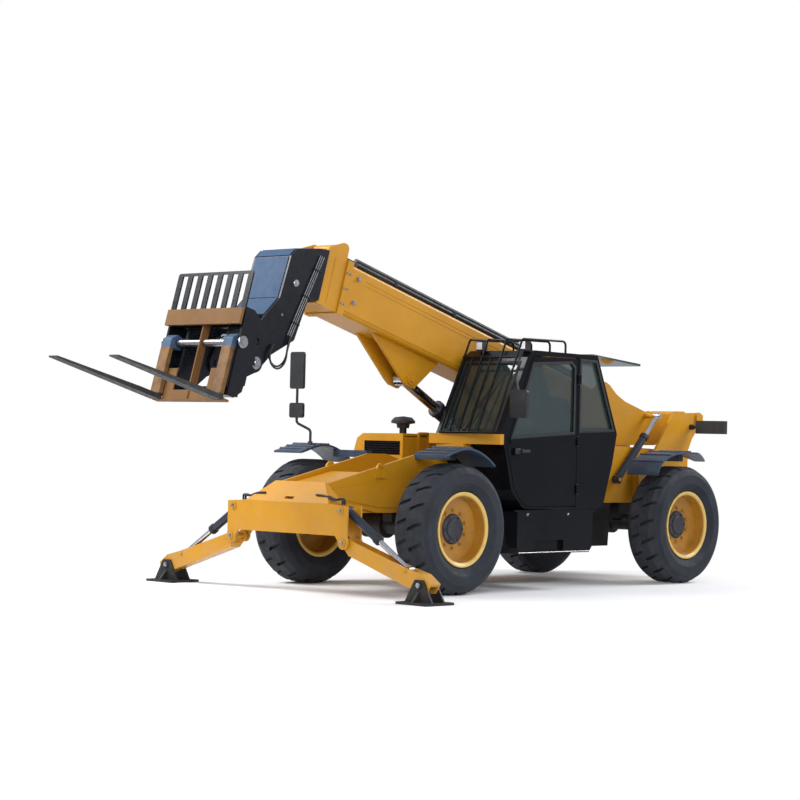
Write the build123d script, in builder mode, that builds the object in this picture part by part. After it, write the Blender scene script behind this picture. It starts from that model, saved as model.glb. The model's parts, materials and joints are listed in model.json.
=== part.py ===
"""Telescopic handler: rigid four-wheel chassis, left-hand cab, side engine, three-section boom."""
import os
from math import atan2, cos, hypot, radians, sin

from build123d import *

# ---------------------------------------------------------------- driving dimensions (mm)
# Frame: +X forward, +Y left, +Z up, ground at Z = 0.
FRONT_AXLE_X = 565.0
WHEELBASE = 3600.0
AXLE_Z = 620.0

# Wheels
TYRE_RADIUS = 620.0
TYRE_WIDTH = 410.0
TREAD_DEPTH = 22.0
TREAD_BARS = 20
WHEEL_Y = 950.0
RIM_RADIUS = 330.0
RIM_WALL = 16.0
RIM_FLANGE_RADIUS = 356.0
RIM_WIDTH = 340.0
HUB_RADIUS = 145.0
KINGPIN_Y = 700.0
KINGPIN_RADIUS = 32.0
AXLE_SHAFT_RADIUS = 45.0

# Chassis
FRAME_OUTER_Y = 330.0
FRAME_PLATE = 30.0
FRAME_BOTTOM_Z = 750.0
TOWER_OUTER_Y = 425.0
TOWER_PLATE = 30.0
NOSE_LENGTH = 1030.0
NOSE_TOP_Z = 1030.0

# Boom, drawn along its own centre line from the rear pivot
BOOM_ANGLE = 15.7
BOOM_PIVOT_OVERHANG = 1150.0
BOOM_PIVOT_Z = 1760.0
BOOM_PIVOT_RADIUS = 45.0
BOOM_DROP = 410.0
BASE_LENGTH = 5640.0
BASE_WIDTH = 420.0
BASE_HEIGHT = 496.0
BOOM_WALL = 14.0
SECTION_GAP = 14.0
MID_NOSE = 280.0
HEAD_Y = 250.0
HEAD_PLATE = 25.0
BOOM_STROKE = 3200.0

# Stabilisers
STAB_FRONT_X = FRONT_AXLE_X + 1250.0
STAB_DEPTH = 200.0
STAB_PLATE = 20.0
STAB_HALF = 800.0
STAB_PIN_RADIUS = 26.0
LEG_PIN_Y = 750.0
LEG_PIN_Z = 500.0
FOOT_PIN_Y = 1690.0
FOOT_PIN_Z = 170.0
LEG_WIDTH = 130.0
LEG_PLATE = 13.0
FOOT_SIZE = 370.0

# Cab, placed from the post that carries the door hinges
CAB_X = FRONT_AXLE_X - 1700.0
CAB_INNER_Y = 340.0
CAB_SHOULDER_Y = 272.0
CAB_SHOULDER_Z = 1345.0
CAB_OUTER_Y = 1110.0
CAB_WALL = 40.0
CAB_FLOOR_Z = 810.0
CAB_TOP_Z = 2360.0
CAB_SILL_Z = 1430.0
SILL_HEIGHT = 100.0
DOOR_GAP = 8.0
HINGE_RADIUS = 9.0
GLASS = 6.0

# Engine side
HOOD_TOP_Z = 1520.0
HOOD_FRONT_X = FRONT_AXLE_X - 720.0
HOOD_LENGTH = 2120.0
HOOD_INNER_Y = -345.0
HOOD_OUTER_Y = -1040.0
HOOD_SPLIT_Z = 1080.0
HOOD_WALL = 25.0

# Forks and carriage
FORK_LENGTH = 1240.0
FORK_THICK = 45.0
FORK_WIDTH = 120.0
FORK_Y = 410.0
FORK_BAR_RADIUS = 32.0
CARRIAGE_HALF = 500.0
CARRIAGE_HEIGHT = 850.0
RACK_HEIGHT = 360.0
RACK_BAR = 62.0
RACK_BARS = 8

# Clearances
PIN_FIT = 0.05
PIN_GAP = 6.0
SIDE_FIT = 5.0

REAR_AXLE_X = FRONT_AXLE_X - WHEELBASE
BOOM_PIVOT_X = REAR_AXLE_X - BOOM_PIVOT_OVERHANG

os.makedirs("parts", exist_ok=True)

SIDE = Plane.XZ
BOOM = Plane(
    origin=(BOOM_PIVOT_X, 0, BOOM_PIVOT_Z),
    x_dir=(cos(radians(BOOM_ANGLE)), 0, sin(radians(BOOM_ANGLE))),
    z_dir=(0, -1, 0),
)
BOTH_SIDES = (("left", 1), ("right", -1))


# ---------------------------------------------------------------- shape helpers
def plate(plane, points, y, thickness, mode=Mode.ADD):
    """Flat plate of the outline given in a fore-and-aft plane, centred on y."""
    with BuildSketch(plane.offset(-y)) as outline:
        with BuildLine():
            Polyline(*points, close=True)
        make_face()
    extrude(outline.sketch, amount=thickness / 2, both=True, mode=mode)


def rounded_plate(plane, points, radius, y, thickness, mode=Mode.ADD):
    """Flat plate as above, with every corner of its outline rounded."""
    with BuildSketch(plane.offset(-y)) as outline:
        with BuildLine():
            FilletPolyline(*points, radius=radius, close=True)
        make_face()
    extrude(outline.sketch, amount=thickness / 2, both=True, mode=mode)


def disc(plane, centre, radius, y, thickness, mode=Mode.ADD):
    """Round boss or bore across a fore-and-aft plane, centred on y."""
    with BuildSketch(plane.offset(-y)) as circle:
        with Locations(centre):
            Circle(radius)
    extrude(circle.sketch, amount=thickness / 2, both=True, mode=mode)


def cross_plate(points, x, thickness, mode=Mode.ADD):
    """Flat plate of the (y, z) outline given, centred on x."""
    with BuildSketch(Plane.YZ.offset(x)) as outline:
        with BuildLine():
            Polyline(*points, close=True)
        make_face()
    extrude(outline.sketch, amount=thickness / 2, both=True, mode=mode)


def cross_disc(centre, radius, x, thickness, mode=Mode.ADD):
    """Round boss or bore along the machine, centred on x."""
    with BuildSketch(Plane.YZ.offset(x)) as circle:
        with Locations(centre):
            Circle(radius)
    extrude(circle.sketch, amount=thickness / 2, both=True, mode=mode)


def block(x0, x1, y0, y1, z0, z1, mode=Mode.ADD):
    """Box between two corners."""
    with Locations(((x0 + x1) / 2, (y0 + y1) / 2, (z0 + z1) / 2)):
        Box(abs(x1 - x0), abs(y1 - y0), abs(z1 - z0), mode=mode)


def boom_block(s0, s1, y0, y1, t0, t1, mode=Mode.ADD):
    """Box square to the boom: s along it and t across it, from the rear pivot."""
    points = [(s0, t0), (s1, t0), (s1, t1), (s0, t1)]
    plate(BOOM, points, (y0 + y1) / 2, abs(y1 - y0), mode)


def boom_point(s, t):
    """Machine x and z of a point given along and across the boom."""
    a = radians(BOOM_ANGLE)
    return (BOOM_PIVOT_X + s * cos(a) - t * sin(a), BOOM_PIVOT_Z + s * sin(a) + t * cos(a))


def bar_y(x, z, radius, y0, y1, mode=Mode.ADD):
    """Round bar across the machine."""
    disc(SIDE, (x, z), radius, (y0 + y1) / 2, abs(y1 - y0), mode)


def bar_z(x, y, radius, z0, z1, mode=Mode.ADD):
    """Upright round bar."""
    with BuildSketch(Plane.XY.offset(z0)) as section:
        with Locations((x, y)):
            Circle(radius)
    extrude(section.sketch, amount=z1 - z0, mode=mode)


def bar_between(start, end, radius, mode=Mode.ADD):
    """Round bar from one point to another."""
    run = Vector(*end) - Vector(*start)
    with BuildSketch(Plane(origin=start, z_dir=run)) as section:
        Circle(radius)
    extrude(section.sketch, amount=run.length, mode=mode)


def bent_tube(points, bend_radius, radius):
    """Round tube along straight runs joined by bends."""
    with BuildLine() as route:
        FilletPolyline(*points, radius=bend_radius)
    with BuildSketch(Plane(origin=route.line @ 0, z_dir=route.line % 0)) as section:
        Circle(radius)
    sweep(section.sketch, path=route.line)


def save(solid, label):
    """Name the finished piece and write it."""
    solid.label = label
    export_step(solid, f"parts/{label}.step")


# ---------------------------------------------------------------- chassis
nose_x = FRONT_AXLE_X + NOSE_LENGTH
nose_inner = FRAME_OUTER_Y - FRAME_PLATE
frame_y = FRAME_OUTER_Y - FRAME_PLATE / 2
tower_y = TOWER_OUTER_Y - TOWER_PLATE / 2
rear_end_x = REAR_AXLE_X - 960.0
REAR_FLOOR_Z = 830.0
side_outline = [
    (nose_x, NOSE_TOP_Z),
    (FRONT_AXLE_X - 160.0, 1310.0),
    (FRONT_AXLE_X - 420.0, 1310.0),
    (FRONT_AXLE_X - 900.0, 1180.0),
    (REAR_AXLE_X + 900.0, 1180.0),
    (REAR_AXLE_X + 420.0, 1450.0),
    (rear_end_x, 1400.0),
    (rear_end_x, REAR_FLOOR_Z),
    (FRONT_AXLE_X - 700.0, REAR_FLOOR_Z),
    (FRONT_AXLE_X - 450.0, FRAME_BOTTOM_Z),
    (FRONT_AXLE_X + 340.0, FRAME_BOTTOM_Z),
    (nose_x, 875.0),
]
nose_doubler = [
    (nose_x - 60.0, 985.0),
    (FRONT_AXLE_X + 260.0, 1045.0),
    (FRONT_AXLE_X - 170.0, 1066.0),
    (FRONT_AXLE_X - 170.0, 800.0),
    (FRONT_AXLE_X + 330.0, 800.0),
    (nose_x - 60.0, 900.0),
]
LASHING_EYE = (FRONT_AXLE_X + 330.0, 1165.0)
LASHING_RADIUS = 62.0
LASHING_HOLE = 30.0
COMP_Y = 380.0
COMP_PIN_RADIUS = 20.0
COMP_BASE = (REAR_AXLE_X + 268.0, 1083.0)
COMP_EYE = (REAR_AXLE_X - 440.0, 1785.0)
with BuildPart() as side_frames:
    for side in (-1, 1):
        plate(SIDE, side_outline, side * frame_y, FRAME_PLATE)
        plate(SIDE, nose_doubler, side * (FRAME_OUTER_Y + 5), 10)
        # lashing eye welded on above the doubler
        disc(SIDE, LASHING_EYE, LASHING_RADIUS, side * (FRAME_OUTER_Y + 10), 20)
        plate(
            SIDE,
            [(LASHING_EYE[0] - LASHING_RADIUS, LASHING_EYE[1]),
             (LASHING_EYE[0] + LASHING_RADIUS, LASHING_EYE[1]),
             (LASHING_EYE[0] + LASHING_RADIUS, LASHING_EYE[1] - 85),
             (LASHING_EYE[0] - LASHING_RADIUS, LASHING_EYE[1] - 85)],
            side * (FRAME_OUTER_Y + 10), 20,
        )
        disc(SIDE, LASHING_EYE, LASHING_HOLE, side * (FRAME_OUTER_Y + 11), 22, Mode.SUBTRACT)
save(side_frames.part, "side_frames")

# Pin of the levelling cylinder's foot with its thin flange, welded to the left side frame
with BuildPart() as levelling_foot:
    bar_y(*COMP_BASE, COMP_PIN_RADIUS + 10, FRAME_OUTER_Y, FRAME_OUTER_Y + 3)
    bar_y(*COMP_BASE, COMP_PIN_RADIUS, FRAME_OUTER_Y, COMP_Y + 45)
save(levelling_foot.part, "levelling_foot")

# Rear tower plates, which carry the boom pivot, on spacers against the side frames
tower_outline = [
    (BOOM_PIVOT_X + 40.0, BOOM_PIVOT_Z + 74.0),
    (REAR_AXLE_X - 680.0, BOOM_PIVOT_Z + 60.0),
    (REAR_AXLE_X - 365.0, 1420.0),
    (REAR_AXLE_X - 100.0, 1250.0),
    (REAR_AXLE_X - 60.0, 1230.0),
    (REAR_AXLE_X - 60.0, REAR_FLOOR_Z),
    (rear_end_x, REAR_FLOOR_Z),
    (rear_end_x, 1400.0),
    (BOOM_PIVOT_X + 115.0, 1540.0),
    (BOOM_PIVOT_X - 20.0, BOOM_PIVOT_Z - 72.0),
]
PIVOT_BOSS_RADIUS = 78.0
with BuildPart() as tower_plates:
    for side in (-1, 1):
        plate(SIDE, tower_outline, side * tower_y, TOWER_PLATE)
        disc(SIDE, (BOOM_PIVOT_X, BOOM_PIVOT_Z), PIVOT_BOSS_RADIUS, side * (tower_y + 4), TOWER_PLATE + 8)
        disc(SIDE, (BOOM_PIVOT_X, BOOM_PIVOT_Z), BOOM_PIVOT_RADIUS, side * tower_y, 3 * TOWER_PLATE,
             Mode.SUBTRACT)
        spacer_y = side * (FRAME_OUTER_Y + TOWER_OUTER_Y - TOWER_PLATE) / 2
        spacer_width = TOWER_OUTER_Y - TOWER_PLATE - FRAME_OUTER_Y
        plate(
            SIDE,
            [(REAR_AXLE_X - 80, 1220), (REAR_AXLE_X - 80, REAR_FLOOR_Z + 20),
             (rear_end_x + 20, REAR_FLOOR_Z + 20),
             (rear_end_x + 20, 1220)],
            spacer_y, spacer_width,
        )
save(tower_plates.part, "tower_plates")

DECK_FRONT_X = nose_x - 26.0
DECK_REAR_X = FRONT_AXLE_X + 380.0
deck_slope = (1310.0 - NOSE_TOP_Z) / (NOSE_LENGTH + 160.0)
deck_rear_z = NOSE_TOP_Z + deck_slope * (nose_x - DECK_REAR_X)
with BuildPart() as cross_members:
    # sloping nose deck between the side frames
    plate(
        SIDE,
        [(DECK_FRONT_X, NOSE_TOP_Z - 30), (DECK_REAR_X, deck_rear_z - 50), (DECK_REAR_X, deck_rear_z - 74),
         (DECK_FRONT_X, NOSE_TOP_Z - 54)],
        0, 2 * nose_inner,
    )
    block(nose_x - 25, nose_x, -nose_inner, nose_inner, FRAME_BOTTOM_Z + 130, NOSE_TOP_Z)
    # floors under the nose and round the rear axle
    block(FRONT_AXLE_X - 440, nose_x - 420, -nose_inner, nose_inner, FRAME_BOTTOM_Z, FRAME_BOTTOM_Z + 25)
    block(rear_end_x + 30, REAR_AXLE_X + 300, -nose_inner, nose_inner, REAR_FLOOR_Z, REAR_FLOOR_Z + 25)
    block(rear_end_x, rear_end_x + 25, -nose_inner, nose_inner, REAR_FLOOR_Z, 1400)
    # boom pivot pin, with a keeper plate at each end
    bar_y(BOOM_PIVOT_X, BOOM_PIVOT_Z, BOOM_PIVOT_RADIUS - PIN_FIT, -TOWER_OUTER_Y - 14, TOWER_OUTER_Y + 14)
    for side in (-1, 1):
        rounded_plate(
            SIDE,
            [(BOOM_PIVOT_X - 60, BOOM_PIVOT_Z - 55), (BOOM_PIVOT_X + 60, BOOM_PIVOT_Z - 55),
             (BOOM_PIVOT_X + 60, BOOM_PIVOT_Z + 55), (BOOM_PIVOT_X - 60, BOOM_PIVOT_Z + 55)],
            20, side * (TOWER_OUTER_Y + 15), 12,
        )
save(cross_members.part, "cross_members")

# Belly between the axles, which hides the foot of the lift cylinder
BELLY_Z = 370.0
LIFT_BASE = (REAR_AXLE_X + 425.0, 490.0)
belly_outline = [
    (LIFT_BASE[0] - 115.0, REAR_FLOOR_Z - 1),
    (LIFT_BASE[0] - 80.0, BELLY_Z),
    (FRONT_AXLE_X - 850.0, BELLY_Z),
    (FRONT_AXLE_X - 701.0, REAR_FLOOR_Z - 1),
]
LIFT_PIN_RADIUS = 36.0
with BuildPart() as belly_frame:
    for side in (-1, 1):
        plate(SIDE, belly_outline, side * frame_y, FRAME_PLATE)
    block(LIFT_BASE[0] - 80, FRONT_AXLE_X - 850, -nose_inner, nose_inner, BELLY_Z, BELLY_Z + 25)
    bar_y(*LIFT_BASE, LIFT_PIN_RADIUS, -nose_inner, nose_inner)
save(belly_frame.part, "belly_frame")

# Axles, with a differential housing at the centre and forks round the kingpins
AXLE_TUBE_RADIUS = 85.0
YOKE_Z = 140.0
with BuildPart() as axles:
    for axle_x, frame_z in ((FRONT_AXLE_X, FRAME_BOTTOM_Z), (REAR_AXLE_X, REAR_FLOOR_Z)):
        bar_y(axle_x, AXLE_Z, AXLE_TUBE_RADIUS, -KINGPIN_Y + 95, KINGPIN_Y - 95)
        bar_y(axle_x, AXLE_Z, AXLE_TUBE_RADIUS + 40, -140, 140)
        for side in (-1, 1):
            block(axle_x - 120, axle_x + 120, side * 180, side * 300, AXLE_Z + 40, frame_z)
            for z in (AXLE_Z - YOKE_Z, AXLE_Z + YOKE_Z - 35):
                block(axle_x - 45, axle_x + 45, side * 570, side * (KINGPIN_Y + 45), z, z + 35)
                bar_z(axle_x, side * KINGPIN_Y, KINGPIN_RADIUS + PIN_FIT, z - 1, z + 36, mode=Mode.SUBTRACT)
            block(axle_x - 45, axle_x + 45, side * 570, side * 605, AXLE_Z - YOKE_Z, AXLE_Z + YOKE_Z)
save(axles.part, "axles")

# ---------------------------------------------------------------- wheels
WHEELS = (
    # name, axle x, side
    ("front_left", FRONT_AXLE_X, 1),
    ("front_right", FRONT_AXLE_X, -1),
    ("rear_left", REAR_AXLE_X, 1),
    ("rear_right", REAR_AXLE_X, -1),
)
carcass_radius = TYRE_RADIUS - TREAD_DEPTH
tyre_half = TYRE_WIDTH / 2
TREAD_HALF = 172.0
SHOULDER_DROP = 34.0
GROOVE_WIDTH = 34.0
GROOVE_SWEEP = 80.0
bead_y = RIM_WIDTH / 2 - 14
shoulder = (TREAD_HALF, TYRE_RADIUS - SHOULDER_DROP)
with BuildPart() as groove:
    # one gap between two tread bars, swept back from the crown to the shoulder
    with BuildSketch(Plane.XY.offset(carcass_radius - 10)) as gap:
        with BuildLine():
            Polyline(
                (-GROOVE_WIDTH / 2, 8), (GROOVE_WIDTH / 2, 8), (GROOVE_WIDTH / 2 - GROOVE_SWEEP, tyre_half),
                (-GROOVE_WIDTH / 2 - GROOVE_SWEEP, tyre_half), close=True,
            )
        make_face()
    extrude(gap.sketch, amount=2 * TREAD_DEPTH)
bar_pitch = 360 / TREAD_BARS
with BuildPart() as tread_tyre:
    with BuildSketch(Plane.YZ):
        with BuildLine():
            Polyline(
                (-bead_y, RIM_FLANGE_RADIUS - 7), (-bead_y + 18, RIM_RADIUS + 1),
                (bead_y - 18, RIM_RADIUS + 1),
                (bead_y, RIM_FLANGE_RADIUS - 7), (bead_y, RIM_FLANGE_RADIUS + 1), (tyre_half, 440),
                (tyre_half, 530),
                shoulder, (TREAD_HALF - 60, TYRE_RADIUS), (-TREAD_HALF + 60, TYRE_RADIUS),
                (-shoulder[0], shoulder[1]),
                (-tyre_half, 530), (-tyre_half, 440), (-bead_y, RIM_FLANGE_RADIUS + 1), close=True,
            )
        make_face()
    revolve(axis=Axis.Y)
    with Locations(*[Location((0, 0, 0), (0, bar_pitch * i, 0)) for i in range(TREAD_BARS)]):
        add(groove.part, mode=Mode.SUBTRACT)
    with Locations(*[Location((0, 0, 0), (180, bar_pitch * (i + 0.5), 0)) for i in range(TREAD_BARS)]):
        add(groove.part, mode=Mode.SUBTRACT)

rim_half = RIM_WIDTH / 2
DISC_Y = 10.0
DISC_PLATE = 16.0
HUB_FACE_Y = 45.0
with BuildPart() as rim_wheel:
    # deep dished rim, drawn with its outer side towards +Y
    with BuildSketch(Plane.YZ):
        with BuildLine():
            Polyline(
                (-rim_half + 28, RIM_RADIUS), (rim_half - 28, RIM_RADIUS),
                (rim_half - 12, RIM_FLANGE_RADIUS - 8),
                (rim_half - 12, RIM_FLANGE_RADIUS), (rim_half, RIM_FLANGE_RADIUS),
                (rim_half, RIM_FLANGE_RADIUS - 16), (rim_half - 16, RIM_RADIUS - RIM_WALL),
                (DISC_Y + DISC_PLATE + 20, RIM_RADIUS - RIM_WALL - 10),
                (DISC_Y + DISC_PLATE, HUB_RADIUS + 60),
                (DISC_Y + DISC_PLATE, HUB_RADIUS), (HUB_FACE_Y, HUB_RADIUS - 12), (HUB_FACE_Y, 0),
                (DISC_Y, 0), (DISC_Y, HUB_RADIUS + 60), (DISC_Y - 10, RIM_RADIUS - RIM_WALL),
                (-rim_half + 16, RIM_RADIUS - RIM_WALL), (-rim_half, RIM_FLANGE_RADIUS - 16),
                (-rim_half, RIM_FLANGE_RADIUS), (-rim_half + 12, RIM_FLANGE_RADIUS),
                (-rim_half + 12, RIM_FLANGE_RADIUS - 8), close=True,
            )
        make_face()
    revolve(axis=Axis.Y)
    bar_y(0, 0, AXLE_SHAFT_RADIUS + PIN_FIT, DISC_Y - 2, HUB_FACE_Y - 15, mode=Mode.SUBTRACT)

for name, wheel_x, side in WHEELS:
    with BuildPart() as knuckle:
        bar_z(wheel_x, side * KINGPIN_Y, 60, AXLE_Z - YOKE_Z + 35 + SIDE_FIT,
              AXLE_Z + YOKE_Z - 35 - SIDE_FIT)
        bar_z(wheel_x, side * KINGPIN_Y, KINGPIN_RADIUS, AXLE_Z - YOKE_Z, AXLE_Z + YOKE_Z)
        bar_y(wheel_x, AXLE_Z, 95, side * (KINGPIN_Y + 60), side * (WHEEL_Y - SIDE_FIT))
        bar_y(wheel_x, AXLE_Z, 70, side * KINGPIN_Y, side * (KINGPIN_Y + 70))
        bar_y(wheel_x, AXLE_Z, AXLE_SHAFT_RADIUS, side * KINGPIN_Y, side * (WHEEL_Y + HUB_FACE_Y - 20))
        # steering arm behind the kingpin
        block(wheel_x - 190, wheel_x - 40, side * (KINGPIN_Y - 25), side * (KINGPIN_Y + 25), AXLE_Z - 40,
              AXLE_Z - 10)
    save(knuckle.part, f"knuckle_{name}")
    place = Location((wheel_x, side * WHEEL_Y, AXLE_Z), (0, 0, 90 - 90 * side))
    with BuildPart() as tyre:
        with Locations(place):
            add(tread_tyre.part)
    save(tyre.part, f"tyre_{name}")
    with BuildPart() as rim:
        with Locations(place):
            add(rim_wheel.part)
    save(rim.part, f"rim_{name}")

# ---------------------------------------------------------------- stabilisers
stab_rear_x = STAB_FRONT_X - STAB_DEPTH
leg_x = STAB_FRONT_X - STAB_DEPTH / 2
STAB_TOP_PIN = (720.0, 790.0)
STAB_EYE = (1500.0, 290.0)
STAB_RAM_RADIUS = 40.0
STAB_ROD_RADIUS = 25.0
STAB_EYE_PIN = 17.0
LEG_LOBE = 62.0
BEAM_TOP_Z = 850.0
HOUSING_HALF = 560.0
beam_outline = [
    (STAB_HALF, BEAM_TOP_Z - 15), (STAB_HALF, LEG_PIN_Z), (STAB_HALF - 105, LEG_PIN_Z),
    (STAB_HALF - 150, 560),
    (-STAB_HALF + 150, 560), (-STAB_HALF + 105, LEG_PIN_Z), (-STAB_HALF, LEG_PIN_Z),
    (-STAB_HALF, BEAM_TOP_Z - 15),
    (-HOUSING_HALF, BEAM_TOP_Z), (HOUSING_HALF, BEAM_TOP_Z),
]
with BuildPart() as stabiliser_beam:
    for x in (STAB_FRONT_X - STAB_PLATE / 2, stab_rear_x + STAB_PLATE / 2):
        cross_plate(beam_outline, x, STAB_PLATE)
        for side in (-1, 1):
            cross_disc((side * LEG_PIN_Y, LEG_PIN_Z), LEG_LOBE, x, STAB_PLATE)
    block(stab_rear_x, STAB_FRONT_X, -600, 600, 560, 580)
    for side in (-1, 1):
        block(stab_rear_x, STAB_FRONT_X, side * 580, side * 600, 560, BEAM_TOP_Z)
        for centre in ((side * LEG_PIN_Y, LEG_PIN_Z), (side * STAB_TOP_PIN[0], STAB_TOP_PIN[1])):
            cross_disc(centre, STAB_PIN_RADIUS, leg_x, STAB_DEPTH + 24)
            cross_disc(centre, STAB_PIN_RADIUS + 10, STAB_FRONT_X + 6, 12)
    # folded cover that slopes from the top edge of the front plate up to the nose of the frame
    with BuildSketch(Plane.XY.offset(BEAM_TOP_Z - 4)):
        with Locations((leg_x, 0)):
            Rectangle(STAB_DEPTH, 2 * HOUSING_HALF)
    with BuildSketch(Plane.XY.offset(NOSE_TOP_Z + 10)):
        with Locations((stab_rear_x + 12, 0)):
            Rectangle(24, 2 * FRAME_OUTER_Y)
    loft()
    # slot for the hoses in the sloping cover
    block(STAB_FRONT_X - 90, STAB_FRONT_X + 1, -60, 60, 876, 900, mode=Mode.SUBTRACT)
    block(nose_x, stab_rear_x + 1, -FRAME_OUTER_Y, FRAME_OUTER_Y, 760, 790)
save(stabiliser_beam.part, "stabiliser_beam")

leg_run = hypot(FOOT_PIN_Y - LEG_PIN_Y, FOOT_PIN_Z - LEG_PIN_Z)
leg_angle = atan2(FOOT_PIN_Z - LEG_PIN_Z, FOOT_PIN_Y - LEG_PIN_Y)
for side_name, side in BOTH_SIDES:
    leg_plane = Plane(
        origin=(leg_x, side * LEG_PIN_Y, LEG_PIN_Z),
        x_dir=(0, side * cos(leg_angle), sin(leg_angle)),
        z_dir=(side, 0, 0),
    )
    with BuildPart() as leg:
        with BuildSketch(leg_plane) as outline:
            with BuildLine():
                Polyline(
                    (0, LEG_LOBE - 8), (90, 45), (leg_run - 210, 75), (leg_run - 20, 95),
                    (leg_run + 115, 55),
                    (leg_run + 95, -45), (leg_run + 25, -75), (leg_run - 80, -75), (80, -95),
                    (0, -LEG_LOBE + 8), close=True,
                )
            make_face()
            Circle(LEG_LOBE - 8)
        extrude(outline.sketch, amount=LEG_WIDTH / 2, both=True)
        with BuildSketch(leg_plane) as hollow:
            with BuildLine():
                Polyline(
                    (-120, -70), (70, -70), (leg_run - 140, -52), (leg_run - 90, 0), (leg_run - 90, 160),
                    (-120, 160),
                    close=True,
                )
            make_face()
            with BuildLine():
                Polyline(
                    (leg_run - 60, -120), (leg_run - 60, 30), (leg_run + 140, 30), (leg_run + 140, -120),
                    close=True
                )
            make_face()
        extrude(hollow.sketch, amount=LEG_WIDTH / 2 - LEG_PLATE, both=True, mode=Mode.SUBTRACT)
        cross_disc((side * LEG_PIN_Y, LEG_PIN_Z), STAB_PIN_RADIUS + PIN_FIT, leg_x, 2 * LEG_WIDTH,
                   Mode.SUBTRACT)
        cross_disc((side * FOOT_PIN_Y, FOOT_PIN_Z), STAB_PIN_RADIUS + PIN_FIT, leg_x, 2 * LEG_WIDTH,
                   Mode.SUBTRACT)
        # outer ends of the pin of the cylinder's rod, whose middle is on the rod
        for out in (-1, 1):
            cross_disc((side * STAB_EYE[0], STAB_EYE[1]), STAB_EYE_PIN, leg_x + out * (LEG_WIDTH / 2 + 5), 14)
    save(leg.part, f"stabiliser_leg_{side_name}")
    foot_y = side * FOOT_PIN_Y
    ear_x = LEG_WIDTH / 2 + SIDE_FIT + 9
    foot_half = FOOT_SIZE / 2
    with BuildPart() as foot:
        block(leg_x - foot_half, leg_x + foot_half, foot_y - foot_half, foot_y + foot_half, 0, 22)
        for x in (leg_x - ear_x, leg_x + ear_x):
            cross_plate(
                [(foot_y - 165, 20), (foot_y - 50, FOOT_PIN_Z + 48), (foot_y + 50, FOOT_PIN_Z + 48),
                 (foot_y + 165, 20)],
                x, 18,
            )
        for out in (-1, 1):
            # raked web from the edge of the pad up to each ear
            plate(
                SIDE,
                [(leg_x + out * (foot_half - 10), 20), (leg_x + out * (ear_x + 8), 120),
                 (leg_x + out * (ear_x + 8), 20)],
                foot_y, 24,
            )
        cross_disc((foot_y, FOOT_PIN_Z), STAB_PIN_RADIUS, leg_x, 2 * ear_x + 36)
        cross_disc((foot_y, FOOT_PIN_Z), STAB_PIN_RADIUS + 10, leg_x + ear_x + 14, 10)
    save(foot.part, f"stabiliser_foot_{side_name}")


def ram(base, eye, plane, y, barrel_radius, rod_radius, barrel_length, rod_length, pin_radius,
        eye_pin_radius, eye_pin_length, name):
    """Cylinder barrel and rod between two pins given in a plane, on the line across at y.

    The rod carries the middle of its eye pin, and the piece that it moves carries the ends.
    """
    across = plane.offset(-y)
    start = across.from_local_coords(Vector(base[0], base[1], 0))
    end = across.from_local_coords(Vector(eye[0], eye[1], 0))
    direction = (end - start).normalized()
    with BuildPart() as barrel:
        with BuildSketch(Plane(origin=start, z_dir=direction)) as tube:
            Circle(barrel_radius)
        extrude(tube.sketch, amount=barrel_length)
        with BuildSketch(Plane(origin=start + direction * (barrel_length - 40), z_dir=direction)) as gland:
            Circle(barrel_radius + 6)
        extrude(gland.sketch, amount=40)
        disc(plane, base, barrel_radius * 1.1, y, barrel_radius * 1.6)
        with BuildSketch(Plane(origin=start + direction * (barrel_radius * 1.1 + 6),
                               z_dir=direction)) as bore:
            Circle(rod_radius + 0.5)
        extrude(bore.sketch, amount=barrel_length, mode=Mode.SUBTRACT)
        disc(plane, base, pin_radius + PIN_FIT, y, barrel_radius * 2, Mode.SUBTRACT)
    save(barrel.part, f"{name}_barrel")
    with BuildPart() as rod:
        with BuildSketch(Plane(origin=end, z_dir=-direction)) as shaft:
            Circle(rod_radius)
        extrude(shaft.sketch, amount=rod_length)
        disc(plane, eye, rod_radius * 1.4, y, rod_radius * 2.4)
        disc(plane, eye, eye_pin_radius, y, eye_pin_length)
    save(rod.part, f"{name}_rod")


CROSS = Plane(origin=(leg_x, 0, 0), x_dir=(0, 1, 0), z_dir=(1, 0, 0))
for side_name, side in BOTH_SIDES:
    ram(
        (side * STAB_TOP_PIN[0], STAB_TOP_PIN[1]), (side * STAB_EYE[0], STAB_EYE[1]), CROSS, 0,
        STAB_RAM_RADIUS, STAB_ROD_RADIUS, 480, 488, STAB_PIN_RADIUS, STAB_EYE_PIN,
        LEG_WIDTH - 2 * LEG_PLATE - 2 * PIN_GAP, f"stabiliser_ram_{side_name}",
    )

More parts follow.
